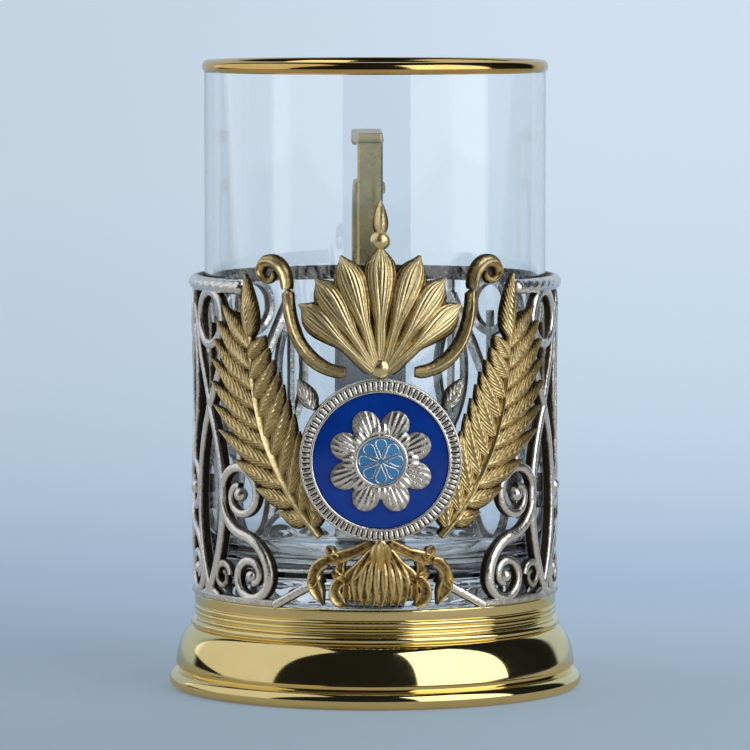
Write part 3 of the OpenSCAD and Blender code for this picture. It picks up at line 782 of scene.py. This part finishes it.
def leafPiece(at, lie, length, width, seat=0.0, count=16, chase=(0, 0), **shape):
    # one carved leaf: a grid laid along its middle line, raised to a crown and closed at the back
    form = {**plainLeaf, **shape}
    rows, columns = count + 2, len(leafColumns) - 1
    leaf = addGrid(columns, rows)
    fine = midline(at, lie, length, leafSteps)
    base = 1 - 1.55 * form["dish"] if form["dish"] else form["edge"]
    relief, lines = [], []
    for vertex in leaf.data.vertices:
        column = round((vertex.co.x + 1) / 2 * columns)
        row = round((vertex.co.y + 1) / 2 * rows)
        t = min(1.0, max(0.0, (row - 1) / count))
        u = leafColumns[column]
        k = min(leafSteps - 1, int(t * leafSteps))
        f = t * leafSteps - k
        x = fine[k][0] + (fine[k + 1][0] - fine[k][0]) * f
        y = fine[k][1] + (fine[k + 1][1] - fine[k][1]) * f
        a = math.radians(heading(lie, t))
        half = leafHalf(form, width, t) * (0.96 if row in (0, rows) else 1)
        crown = leafCrown(form, t, u)
        low = row in (0, rows) or column in (0, columns)
        h = 0.0 if low else form["lift"] * (1 if t < 0.5 else 1 - 0.7 * (t - 0.5)) * crown
        vertex.co = (x + half * u * math.cos(a), y - half * u * math.sin(a), h)
        # the leaf's low edges and sides get the dark hollow tone: patina with painted shade
        relief.append(0.0 if low else min(1.0, max(0.0, (crown - base) / (1 - base) * 0.95 + 0.05)))
        lines.append(chase[0] * t - chase[1] * abs(u))
    addValues(leaf, "relief", relief)
    addValues(leaf, "chase", lines)
    bpy.ops.object.mode_set(mode="EDIT")
    bpy.ops.mesh.select_mode(type="VERT")
    bpy.ops.mesh.select_all(action="DESELECT")
    bpy.ops.mesh.select_non_manifold()
    bpy.ops.mesh.edge_face_add()
    bpy.ops.mesh.select_all(action="SELECT")
    bpy.ops.mesh.quads_convert_to_tris(quad_method="BEAUTY", ngon_method="BEAUTY")
    bpy.ops.object.mode_set(mode="OBJECT")
    placeOnFront(leaf, seat)
    return leaf


def sideLeaf(side, at, lie, *sizes, **shape):
    return leafPiece((side * at[0], at[1]), tuple(side * v for v in lie), *sizes, **shape)


def knobPiece(x, y, r, out=1.2):
    knob = ballPiece(x, y, out, r)
    markRelief(knob, -0.8, 1.8)
    placeOnFront(knob)
    return knob


medallionMiddle = wall["medallionHeight"]
frond = {
    "at": (11.5, medallionMiddle - 15),
    "lie": (41, -41, 0),
    "length": 44.0,
    "pairs": 10,
    "leafletLength": 14.5,
    "leafletWidth": 4.2,
    "lowest": (0.5, 0.66, 0.84),  # the outer leaflets that clear the sleeve's scrolls are shorter
    "outAngle": 46.0,
    "inAngle": 44.0,
}


def buildFronds():
    d = frond
    pairs, width = d["pairs"], d["leafletWidth"]
    stem = midline(d["at"], d["lie"], d["length"], 2 * (pairs + 1))
    leaflet = {"groove": 0.1, "rib": 0.22}
    parts = [leafPiece(d["at"], d["lie"], d["length"], 2.2, root=0.9, tip=0.5, lift=2.75, count=30, rib=0.1)]
    for i in range(pairs):
        t = (i + 1) / (pairs + 1)
        a = heading(d["lie"], t)
        length = d["leafletLength"] * (0.72 + 0.5 * math.sin(math.pi * t) - 0.12 * t)
        outer = d["lowest"][i] if i < len(d["lowest"]) else 1.0
        step = 0.1 * (i % 3)
        parts.append(leafPiece(stem[2 * i + 2], (a + d["outAngle"], -10, 0), length * outer, width,
                               seat=0.1 + step, veins=9, chase=(12 * outer, 4), **leaflet))
        parts.append(leafPiece(stem[2 * i + 1], (a - d["inAngle"], 12, 0), length * (0.94 - 0.5 * t), width,
                               seat=0.15 + step, veins=8, chase=(9, 4), **leaflet))
    parts.append(leafPiece(stem[2 * pairs + 1], (heading(d["lie"], 1) + 4, 6, 0), d["leafletLength"] * 0.85,
                           width, seat=0.12, veins=8, chase=(11, 4), **leaflet))
    right = finishSolid(parts, "frondRight", "antique_gold", "holder", ["frond_right"], 42)
    finishMirrored(right, "frondLeft", "frond_left")


crest = {
    "at": medallionMiddle + 15.7 + 1.6,
    "height": 34.8,
    "step": 15.0,
    "width": 6.8,
    "shell": (0.7 * 34.8, 0.51 * 31.4),  # half the height and half the width of the oval round the lobes
}


def lobeLength(degrees):
    high, half = crest["shell"]
    a = math.radians(degrees)
    return 1 / math.hypot(math.sin(a) / half, math.cos(a) / high)


def buildCrest():
    d = crest
    z = d["at"]
    lobe = {"belly": 2.2, "tip": 0.3, "lift": 2.8, "roundTip": 0.16, "rib": 0.0, "groove": -0.04, "edge": 0.3,
            "count": 22, "chase": (2, 5)}
    budZ = z + d["shell"][0] + 0.8
    parts = []
    for i in (3, 2, 1):
        for side in (-1, 1):
            parts.append(sideLeaf(side, (0.5 * i, z), (d["step"] * i, 0, 8), lobeLength(d["step"] * i),
                                  d["width"], seat=0.12 * i, **lobe))
    parts.append(leafPiece((0, z), (0, 0, 0), d["shell"][0], d["width"], **lobe))
    parts.append(knobPiece(0, z + 0.6, 2.3))
    parts.append(knobPiece(0, budZ, 1.9, 1.1))
    parts.append(leafPiece((0, budZ + 1), (0, 0, 0), z + d["height"] - budZ - 2.6, 3, count=10))
    finishSolid(parts, "crestPalmette", "antique_gold", "holder", ["crest_palmette"], 42)


arm = {"at": (6.6, crest["at"] - 0.4), "lie": (92, -150, 60), "length": 22.0, "width": 2.8, "curl": 16.0}


def buildTendrils():
    d = arm
    end = midline(d["at"], d["lie"], d["length"], 12)[-1]
    form = {"root": 0.9, "rib": 0.3, "groove": 0.12}
    parts = []
    for side in (-1, 1):
        parts.append(sideLeaf(side, d["at"], d["lie"], d["length"], d["width"], tip=0.9, count=26,
                              roundTip=0.02, **form))
        parts.append(sideLeaf(side, end, (heading(d["lie"], 1), 40, 340), d["curl"], d["width"], tip=0.5,
                              count=34, seat=0.1, **form))
    finishSolid(parts, "crestTendrils", "antique_gold", "holder", ["crest_tendrils"], 42)


palmette = {
    "top": medallionMiddle - 15.7 - 0.2,
    # one side's leaves: start (x, below the top), heading and its turn, length, width and tip;
    # the stems stay open at their far end
    "leaves": [
        ((1.8, -0.2), (124, -30, 4), 10.6, 2.7, 0.85),  # outer stem
        ((9.9, -3.9), (96, 239, -129), 10.2, 3.0, 0.3),  # its hooked end
        ((13.3, -8.8), (300, 80, 0), 3.6, 1.9, 0.12),
        ((8.0, -3.2), (60, -40, 0), 3.2, 2.0, 0.12),
        ((7.2, -3.8), (165, 10, 0), 3.0, 2.0, 0.12),
        ((1.4, -1.8), (142, -8, 0), 9.4, 2.7, 0.85),  # inner stem
        ((6.8, -7.3), (112, 160, -10), 7.0, 2.9, 0.3),  # its hooked end
        ((6.4, -7.2), (75, -30, 0), 3.2, 1.9, 0.12),
        ((6.2, -8.4), (178, 0, 0), 3.2, 1.9, 0.12),
    ],
    "fan": [(169, 12, 0.985), (157, 27, 0.975), (144, 44, 0.95)],  # heading, turn and share of the drop
}


def buildPalmette():
    top = palmette["top"]
    drop = top - wall["collarTop"] - 0.4
    band = {"root": 0.8, "belly": 1.5, "lift": 2.5, "dish": 0.34, "roundTip": 0.3, "count": 18}
    lobe = {"root": 0.4, "tip": 0.12, "belly": 1.35, "lift": 2.6, "dish": 0.3, "count": 18}
    parts = []
    for k, ((x, below), lie, length, width, tip) in enumerate(palmette["leaves"]):
        for side in (-1, 1):
            parts.append(sideLeaf(side, (x, top + below), lie, length, width, tip=tip, seat=0.04 * k, **band))
    for k, (start, turn, share) in enumerate(palmette["fan"]):
        for side in (-1, 1):
            parts.append(sideLeaf(side, (0.5 + 0.5 * k, top - 0.8 - 0.3 * k), (start, turn, 0),
                                  drop * share - 0.8, 2.9, seat=0.3 - 0.12 * k, **lobe))
    parts.append(leafPiece((0, top), (180, 0, 0), drop, 3.0, seat=0.4, **lobe))
    for side in (-1, 1):
        parts.append(sideLeaf(side, (0.7, top - 0.2), (160, 30, 0), 5.0, 2.3, lift=3.3, edge=0.6))
    parts.append(leafPiece((0, top), (180, 0, 0), 6.0, 2.8, lift=3.7, edge=0.6))
    parts.append(knobPiece(0, top - 0.5, 1.5, 1.3))
    finishSolid(parts, "lowerPalmette", "antique_gold", "holder", ["lower_palmette"], 42)


def buildSilverLeaves():
    form = {"belly": 0.8, "lift": 2.8, "groove": 0.14, "rib": 0.25, "veins": 5, "chase": (5, 3)}
    at = (12.4, medallionMiddle + 9.8)
    parts = [sideLeaf(side, at, (40, -16, 0), 6.6, 3.6, **form) for side in (-1, 1)]
    finishSolid(parts, "silverLeaves", "antique_silver", "holder", ["silver_leaves"], 42)


buildFronds()
buildCrest()
buildTendrils()
buildPalmette()
buildSilverLeaves()
print("cartouche built")


# medallion

medallion = {"radius": 15.7, "field": 13.1, "cup": 1.7, "reeds": 88, "dome": 1.62}


def flatSpun(outline, steps=160):
    piece = spunPiece(outline, steps)
    moveEach(piece, lambda x, y, z: (x * 1000, y * 1000, z * 1000))
    return piece


def reedRow(r, field):
    # one rounded reed, repeated round the border
    bpy.ops.object.select_all(action="DESELECT")
    bpy.ops.mesh.primitive_cube_add(size=1)
    reed = bpy.context.object
    moveEach(reed, lambda x, y, z: (x * 1.75 + (r + field) / 2 + 0.05, y * (0.85 + 0.05 * x), z * 1.5 + 0.62))
    addBevel(reed, 0.36, 3)
    applyModifiers(reed)
    bpy.ops.object.empty_add(location=(0, 0, 0), rotation=(0, 0, 2 * math.pi / medallion["reeds"]))
    turner = bpy.context.object
    row = reed.modifiers.new("row", "ARRAY")
    row.count = medallion["reeds"]
    row.use_relative_offset = False
    row.use_object_offset = True
    row.offset_object = turner
    applyModifiers(reed)
    bpy.data.objects.remove(turner)
    return reed


def buildMedallion():
    r, field, base = medallion["radius"], medallion["field"], medallion["cup"]
    cup = flatSpun([(r, 0.0), (r - 0.1, base - 0.05), (0.001, base - 0.05), (0.001, 0.0)])
    for vertex in cup.data.vertices:  # the back of the cup follows the wall
        if vertex.co.z < 0.5:
            vertex.co.z = math.sqrt(wall["front"] ** 2 - vertex.co.x * vertex.co.x) - wall["outer"]
    markRelief(cup, -9, 6)
    placeOnFace(cup, 0)
    finishSolid([cup], "medallionCup", "antique_silver", "holder", ["medallion_cup"])

    outline = [(field, 0), (r - 0.05, 0), (r - 0.02, 0.5)] + arcPoints(r - 0.24, 0.82, 0.24, -60, 180, 20)
    outline += [(r - 0.55, 0.4), (field + 0.62, 0.4)] + arcPoints(field + 0.32, 1.5, 0.3, 0, 180, 18)
    outline += [(field, 1.2)]
    ring, reeds = flatSpun(outline, 200), reedRow(r, field)
    markRelief(ring, 0.4, 1.0)
    markRelief(reeds, 0.6, 1.25)
    border = joinPieces([ring, reeds])
    placeOnFace(border, base)
    finishSolid([border], "medallionBorder", "antique_silver", "holder", ["medallion_border"])

    high = medallion["dome"]
    dome = [(0.001, high)] + [(field * k / 12, high - 0.3 * (k / 12) ** 2.5) for k in range(1, 12)]
    dome += [(field - 0.12, 1.25), (field, 1.1), (field, 0.0), (0.001, 0.0)]
    enamel = flatSpun(dome, 128)
    placeOnFace(enamel, base)
    finishSolid([enamel], "medallionEnamel", "blue_enamel", "holder", ["medallion_enamel"])


rosette = {"radius": 10.3, "eye": 4.74, "petals": 8, "out": 3.3, "lobeDepth": 0.4, "wire": 0.13}


def petalRing(radius, turn, height, ribs, columns=320, rows=16):
    ring = addGrid(columns, rows)
    count, inner, depth = rosette["petals"], rosette["eye"] - 0.3, rosette["lobeDepth"]
    relief = []
    for vertex in ring.data.vertices:
        a = (vertex.co.x + 1) * math.pi
        t = (vertex.co.y + 1) / 2
        lobe = abs(math.sin(count * a / 2)) ** 0.5
        reach = radius * (1 - depth + depth * lobe)
        r = inner + (reach - inner) * min(1, t * rows / (rows - 1))
        crown = math.sin(math.pi * min(1, 0.12 + 0.8 * t)) ** 0.6 * (0.35 + 0.65 * lobe)
        crown *= 1 - 0.22 * (0.5 + 0.5 * math.cos(ribs * count * a))
        low = t > 1 - 0.5 / rows
        vertex.co = (r * math.cos(a + turn), r * math.sin(a + turn), 0 if low else height * max(crown, 0.25))
        # the petals' low edges and the dips between them get the dark hollow tone: patina with painted shade
        relief.append(0.1 if low else min(1, crown * 1.15))
    addValues(ring, "relief", relief)
    editWhole(ring, (bpy.ops.mesh.remove_doubles, {"threshold": 0.0005}))
    return ring


def wireStroke(a, eye):
    # one drop-shaped loop of wire, out along one side and back along the other, on the eye's dome
    stroke = []
    for i in range(41):
        t = i / 20 if i <= 20 else 1 - (i - 20) / 20
        swing = (0.30 if i <= 20 else -0.30) * math.sin(math.pi * t)
        r = 0.5 + (eye - 1.0) * math.sin(math.pi * t / 2)
        x, y = r * math.cos(a + swing), r * math.sin(a + swing)
        stroke.append((x, y, 1.17 - 0.6 * (math.hypot(x, y) / eye) ** 2.2, 1.0))
    return stroke


def buildRosette():
    radius, eye, petals = rosette["radius"], rosette["eye"], rosette["petals"]
    outer = petalRing(radius, 0, 0.62, 6)
    inner = petalRing(radius * 0.72, math.pi / petals, 0.86, 4, 256, 12)
    collet = flatSpun(arcPoints(eye + 0.15, 0.5, 0.42, -180, 180, 24)[:-1], 96)
    markRelief(collet, 0.2, 0.9)
    piece = joinPieces([outer, inner, collet])
    placeOnFace(piece, rosette["out"])
    editWhole(piece, (bpy.ops.mesh.normals_make_consistent, {"inside": False}))
    finishPiece(piece, "rosettePetals", "antique_silver", "holder", ["rosette_petals"], 50)

    dome = [(0.001, 1.15)] + [(eye * k / 10, 1.15 - 0.6 * (k / 10) ** 2.2) for k in range(1, 10)]
    centre = flatSpun(dome + [(eye, 0.5), (eye, 0.0), (0.001, 0.0)], 96)
    placeOnFace(centre, rosette["out"])
    finishSolid([centre], "rosetteEnamel", "light_enamel", "holder", ["rosette_enamel"])

    wireSection = sectionCurve(arcPoints(0, 0, rosette["wire"], 0, 360, 60)[:-1])
    wires = sweptPiece([wireStroke(math.pi / 4 * k, eye) for k in range(petals)], wireSection)
    markRelief(wires, -3, 0.5)
    placeOnFace(wires, rosette["out"])
    finishSolid([wires], "rosetteWires", "antique_silver", "holder", (), 50)


buildMedallion()
buildRosette()
print("medallion built")


# handle

handle = {
    "spineWidth": 5.4,
    "thick": 2.7,
    "loopWidth": 6.6,
    "spineLow": 21.1,
    "narrowAt": 82.5,  # from here up the spine has a ridge inside instead of a pad
    "loopTop": 98.15,
    "rollAt": (42.5, 40.65),
    "rivets": (30.1, 76.0),
}
thumb = {"low": 107.3, "top": 109.5, "width": 6.8, "reach": 72.1, "roll": 1.7, "postAt": 19.525}


def loopOutline(w, t, bow=0.18):
    c = t * 0.24
    half = w / 2
    return [(c - t / 2, -half), (t / 2 - c, -half), (t / 2 - c * 0.3, -half + c * 0.3), (t / 2, c - half),
            (t / 2 + bow, 0), (t / 2, half - c), (t / 2 - c * 0.3, half - c * 0.3), (t / 2 - c, half),
            (c - t / 2, half), (c * 0.3 - t / 2, half - c * 0.3), (-t / 2, half - c), (-t / 2, c - half),
            (c * 0.3 - t / 2, -half + c * 0.3)]


def spineOutline(w, t, inside):
    # inside is what stands on the side of the sleeve, as (depth from that face, place across)
    half = w / 2
    outline = [(-t / 2, -half + 0.3), (-t / 2 + 0.3, -half), (t / 2 - 0.5, -half), (t / 2 - 0.1, -half + 0.4),
               (t / 2, 0), (t / 2 - 0.1, half - 0.4), (t / 2 - 0.5, half), (-t / 2 + 0.3, half),
               (-t / 2, half - 0.3)]
    return outline + [(-t / 2 + depth, across) for depth, across in inside]


def buildLoop():
    d = handle
    spineOut, high = wall["outer"] + d["thick"], d["loopTop"]
    path = [(spineOut, high), (46, high)] + arcPoints(55.75, high - 15, 15, 90, 0, 3)
    path += arcPoints(24.75, high - 15, 46, 0, -66, 2)[1:]
    loop = sweptPiece([flatStroke(path)], sectionCurve(loopOutline(d["loopWidth"], d["thick"])))
    moveEach(loop, lambda x, y, h: (h * mm, x * mm, y * mm))  # drawn flat, then stood up behind the sleeve
    half = [(3.2, 3.3), (2.9, 3.6), (2.45, 3.5), (2.2, 3.7), (0.001, 3.7)]
    roll = spunPiece([(r, -z) for r, z in reversed(half)] + half, 48, closed=False)
    y, z = d["rollAt"]
    moveEach(roll, lambda rx, ry, rz: (rz, rx + y * mm, ry + z * mm))
    finishSolid([loop, roll], "handleLoop", "satin_gold", "holder", ["handle_loop"])


def buildSpine():
    d = handle
    w, t, turn = d["spineWidth"], d["thick"], d["narrowAt"]
    spineMid = wall["outer"] + t / 2
    pad = [(0, 1.25), (-0.1, 1.1), (-0.1, -1.1), (0, -1.25)]
    ridge = [(0.05, 1.3), (-0.45, 0.7), (-0.85, 0.0), (-0.45, -0.7), (0.05, -1.3)]
    parts = []
    for inside, heights in ((pad, (d["spineLow"], 50, turn)), (ridge, (turn, 95, thumb["low"] + 0.4))):
        part = sweptPiece([flatStroke([(0, z) for z in heights])], sectionCurve(spineOutline(w, t, inside)))
        # the path runs up the page, so its section lies the other way round
        moveEach(part, lambda x, y, h: (h * mm, (spineMid - x) * mm, y * mm))
        parts.append(part)
    finishSolid(parts, "handleSpine", "satin_gold", "holder", ["handle_spine"])


def buildRivets():
    head = [(0.001, 0.92), (0.9, 0.78), (1.5, 0.45), (1.85, 0.0), (1.85, -0.2), (0.001, -0.2)]
    tail = [(0.001, -0.1), (1.1, -0.1), (1.1, 1.0), (0.001, 1.0)]
    parts = []
    for z in handle["rivets"]:
        for outline, out in ((head, wall["outer"] + handle["thick"]), (tail, wall["inner"] + 0.4)):
            part = spunPiece(outline, 32, closed=False)
            moveEach(part, lambda x, y, h: (x, h + out * mm, y + z * mm))
            parts.append(part)
    finishSolid(parts, "handleRivets", "satin_gold", "holder", ["handle_rivets"])


def buildThumbRest():
    d = thumb
    low, high, narrow, reach = d["low"], d["top"], handle["spineWidth"], d["reach"] - d["roll"]
    tongue = addGrid(8, 24)

    def place(across, along, h):
        t = (along + 1) / 2
        half = (narrow + (d["width"] - narrow) * t) / 2 - 0.01
        y = wall["outer"] + (reach - wall["outer"]) * t
        dip = 0.35 * math.sin(math.pi * t) * (1 - across ** 2)
        return across * half * mm, y * mm, (high - dip) * mm

    moveEach(tongue, place)
    thick = tongue.modifiers.new("thick", "SOLIDIFY")
    thick.thickness = (high - low) * mm
    thick.offset = -1
    addBevel(tongue, 0.0004, 3, 50)
    applyModifiers(tongue)
    w, r = d["width"] / 2, d["roll"]
    barrel = [(0.001, -w), (1.2, -w), (r, -w + 0.4), (r, w - 0.4), (1.2, w), (0.001, w)]
    roll = spunPiece(barrel, 40, closed=False)
    moveEach(roll, lambda x, y, z: (z, x + reach * mm, y + (high - r) * mm))
    finishSolid([tongue, roll], "thumbRest", "satin_gold", "holder", ["thumb_rest"])

    outline = [(0.001, 99.4), (1.6, 99.4), (1.6, 99.9), (1.25, 100.4), (1.2, 101.2)]
    outline += arcPoints(0, 103.4, 2.0, -50, 50, 12)
    outline += [(1.2, 105.6), (1.25, 106.4), (1.6, 106.9), (1.6, 107.4), (0.001, 107.4)]
    post = spunPiece(outline, 48, closed=False)
    moveEach(post, lambda x, y, z: (x, y + (wall["outer"] + d["postAt"]) * mm, z))
    finishSolid([post], "thumbRestPost", "satin_gold", "holder", ["thumb_rest_post"])


buildLoop()
buildSpine()
buildRivets()
buildThumbRest()
print("handle built")


# the glass

glass = {
    "radius": 34.0,
    "wall": 1.6,
    "bottom": 17.4,
    "floor": 9.5,
    "bead": 1.05,
    "gilt": 0.25,
    "innerRound": 5.0,
    # hollow under its floor, as (radius, above the bottom): the photograph shows clear light
    # between the floor and the collar
    "hollow": [(0.001, 7.3), (20.0, 7.2), (28.2, 6.9), (29.8, 6.0), (30.3, 4.6), (30.5, 0.6), (30.7, 0.1)],
}


def buildGlass():
    d = glass
    r, low, bead, corner = d["radius"], d["bottom"], d["bead"], d["innerRound"]
    beadZ = wall["glassTop"] - d["gilt"] - bead
    mid, inner, floor = r - d["wall"] / 2, r - d["wall"], low + d["floor"]
    outline = [(x, low + above) for x, above in d["hollow"]] + arcPoints(r - 3, low + 3, 3, -90, 0, 9)
    outline += [(r, low + 3.3), (r, low + 40), (r, beadZ - 1.3), (r, beadZ - 0.95)]
    outline += arcPoints(mid, beadZ, bead, -38, 218, 15)
    outline += [(inner, beadZ - 0.95), (inner, beadZ - 1.3), (inner, low + 45), (inner, floor + corner + 0.4)]
    outline += arcPoints(inner - corner, floor + corner, corner, 0, -90, 9)
    outline += [(12, floor - 0.05), (0.001, floor - 0.1)]
    tumbler = spunPiece(outline, 256, closed=False)
    finishSolid([tumbler], "glassTumbler", "clear_glass", "glass", ["glass_tumbler"], 30)

    tube = arcPoints(mid, beadZ, bead + d["gilt"], -48, 228, 12)
    tube += arcPoints(mid, beadZ, bead + 0.02, 228, -48, 12)
    finishPiece(spunPiece(tube, 256), "glassGiltLip", "gilt_lip", "glass", ["glass_gilt_lip"], 30)


buildGlass()
for section in [o for o in bpy.data.objects if o.type == "CURVE"]:
    bpy.data.objects.remove(section)
print("glass built")


# floor, backdrop, lights and camera

studio = {
    "wallY": 900.0,
    "sweepR": 500.0,
    "size": (3.0, 5200.0, 2200.0),  # half the width in metres, the paper's length and how much lies in front
    "tones": [  # from the front of the floor to the top of the wall that shows
        (0.0, (0.26, 0.33, 0.385)),
        (0.29, (0.31, 0.395, 0.50)),
        (0.67, (0.46, 0.55, 0.63)),
        (0.83, (0.505, 0.59, 0.66)),
        (1.0, (0.53, 0.60, 0.67)),
    ],
    "tonesOver": (-0.1, 0.9),
    "ownLight": 0.5,
    "leftRight": (0.93, 1.06),  # the right of the paper gets more light
    "mirrored": (0.29, 0.275, 0.245),  # the table as the gold in front sees it, warmed by the gold itself
    "mirroredTo": (0.5, 0.9),  # from here on, in front and at the sides, mirrors see the dark room
    "darkRoom": (0.012, 0.013, 0.014),
    "behindFrom": (0.66, 0.58),
    "mirroredBehind": 0.78,
}


def smoothOn(tree, value, start, end, low=0.0, high=1.0):
    return addNode(tree, "ShaderNodeMapRange", {
        "Value": value, "From Min": start, "From Max": end, "To Min": low, "To Max": high},
        interpolation_type="SMOOTHSTEP").outputs[0]


def scaledColor(tree, color, factor):
    return addNode(tree, "ShaderNodeVectorMath", {"Vector": color, "Scale": factor},
                   operation="SCALE").outputs["Vector"]


def mirrorRays(tree):
    # 1 for what a metal mirrors straight from the room, 0 for what is seen or mirrored through the glass
    path = addNode(tree, "ShaderNodeLightPath").outputs
    return mathOn(tree, "SUBTRACT", path["Is Glossy Ray"], path["Is Transmission Ray"], use_clamp=True)


def paperMaterial():
    material, tree, shader = newMaterial("studioPaper")
    where = addNode(tree, "ShaderNodeTexCoord").outputs["Object"]
    split = addNode(tree, "ShaderNodeSeparateXYZ", {0: where}).outputs
    depth = addNode(tree, "ShaderNodeMapRange", {
        "Value": mathOn(tree, "ADD", split["Y"], split["Z"]),
        "From Min": studio["tonesOver"][0], "From Max": studio["tonesOver"][1]}).outputs[0]
    mirror = mirrorRays(tree)
    seen = scaledColor(tree, rampOn(tree, depth, studio["tones"]),
                       smoothOn(tree, split["X"], -0.11, 0.11, *studio["leftRight"]))
    seen = scaledColor(tree, seen, smoothOn(tree, mirror, 0, 1, 1, studio["mirroredBehind"]))
    radius = addNode(tree, "ShaderNodeVectorMath", {0: where}, operation="LENGTH").outputs["Value"]
    inFront = smoothOn(tree, mathOn(tree, "DIVIDE", split["Y"], radius), *studio["behindFrom"])
    room = mixOn(tree, smoothOn(tree, radius, *studio["mirroredTo"]), studio["mirrored"], studio["darkRoom"])
    shown = mixOn(tree, mathOn(tree, "MULTIPLY", inFront, mirror), seen, room)
    fillSockets(tree, shader, {
        "Base Color": shown,
        "Emission Color": shown,
        "Emission Strength": studio["ownLight"],
        "Roughness": 0.9,
        "Specular IOR Level": 0.1,
    })
    # the paper's back is clear to the camera, so that the object also shows from behind it
    back = addNode(tree, "ShaderNodeNewGeometry").outputs["Backfacing"]
    camera = addNode(tree, "ShaderNodeLightPath").outputs["Is Camera Ray"]
    clear = addNode(tree, "ShaderNodeBsdfTransparent").outputs["BSDF"]
    either = addNode(tree, "ShaderNodeMixShader", {
        "Fac": mathOn(tree, "MULTIPLY", back, camera), 1: shader.outputs["BSDF"], 2: clear})
    tree.links.new(either.outputs["Shader"], tree.nodes["Material Output"].inputs["Surface"])
    return material


def buildStage():
    sweep = addGrid(4, 120)
    sweep.name = "studioSweep"
    wallY, r = studio["wallY"], studio["sweepR"]
    halfWidth, length, before = studio["size"]
    bend = wallY - r

    def place(across, along, h):
        s = (along + 1) / 2 * length - before
        if s < bend:
            y, z = s, 0.0
        elif s < bend + r * math.pi / 2:
            a = (s - bend) / r
            y, z = bend + r * math.sin(a), r - r * math.cos(a)
        else:
            y, z = wallY, r + s - bend - r * math.pi / 2
        return across * halfWidth, y * mm, z * mm

    moveEach(sweep, place)
    onlyPick(sweep)
    bpy.ops.object.shade_smooth()
    sweep.data.materials.append(paperMaterial())


# the softboxes stand to the left and, brighter, to the right in front
lamps = {
    "left": {"angle": -87, "away": 0.8, "size": (1.3, 2.4), "lean": 13, "radiance": 0.66},
    "right": {"angle": 48.5, "away": 0.8, "size": (0.87, 1.6), "lean": -3, "radiance": 1.65},
}


def buildLights():
    for name, lamp in lamps.items():
        turn, away = math.radians(lamp["angle"]), lamp["away"]
        wide, high = lamp["size"]
        place = (away * math.sin(turn), -away * math.cos(turn), high / 2)
        bpy.ops.object.light_add(type="AREA", location=place)
        light = bpy.context.object
        light.name = name + "Softbox"
        light.data.shape = "RECTANGLE"
        light.data.size, light.data.size_y = wide, high
        light.data.energy = lamp["radiance"] * math.pi * wide * high
        light.rotation_euler = (math.pi / 2, math.radians(lamp["lean"]), turn)


# the world is plain light for the surfaces, and in mirrors pale behind and dark in front
surround = {
    "plain": (0.27, 0.29, 0.32),
    "behind": (0.50, 0.60, 0.71),
    "front": (0.012, 0.013, 0.015),
    "behindFrom": (0.5, 0.66),
}


def buildWorld():
    world = bpy.data.worlds.new("studioWorld")
    bpy.context.scene.world = world
    world.use_nodes = True
    tree = world.node_tree
    direction = addNode(tree, "ShaderNodeTexCoord").outputs["Generated"]
    depth = addNode(tree, "ShaderNodeSeparateXYZ", {0: direction}).outputs["Y"]
    behind = smoothOn(tree, depth, *surround["behindFrom"])
    mirrored = mixOn(tree, behind, surround["front"], surround["behind"])
    path = addNode(tree, "ShaderNodeLightPath").outputs
    pale = mathOn(tree, "MAXIMUM", path["Is Camera Ray"], path["Is Transmission Ray"])
    seen = mixOn(tree, pale, surround["plain"], surround["behind"])
    tree.links.new(mixOn(tree, mirrorRays(tree), seen, mirrored), tree.nodes["Background"].inputs["Color"])


# where the photograph was taken from
view = {"away": 1.0943, "height": 0.142, "turn": 1.6, "tilt": 4.17, "lens": 263.35}


def buildCamera():
    bpy.ops.object.camera_add()
    camera = bpy.context.object
    camera.name = "photoCamera"
    turn = math.radians(view["turn"])
    camera.location = (-view["away"] * math.sin(turn), -view["away"] * math.cos(turn), view["height"])
    camera.rotation_euler = (math.radians(90 - view["tilt"]), 0, -turn)
    camera.data.sensor_width = 36
    camera.data.lens = view["lens"]
    camera.data.clip_start = 0.05
    bpy.context.scene.camera = camera


buildStage()
buildLights()
buildWorld()
buildCamera()
bpy.context.scene.view_settings.view_transform = "Standard"
print("studio built")
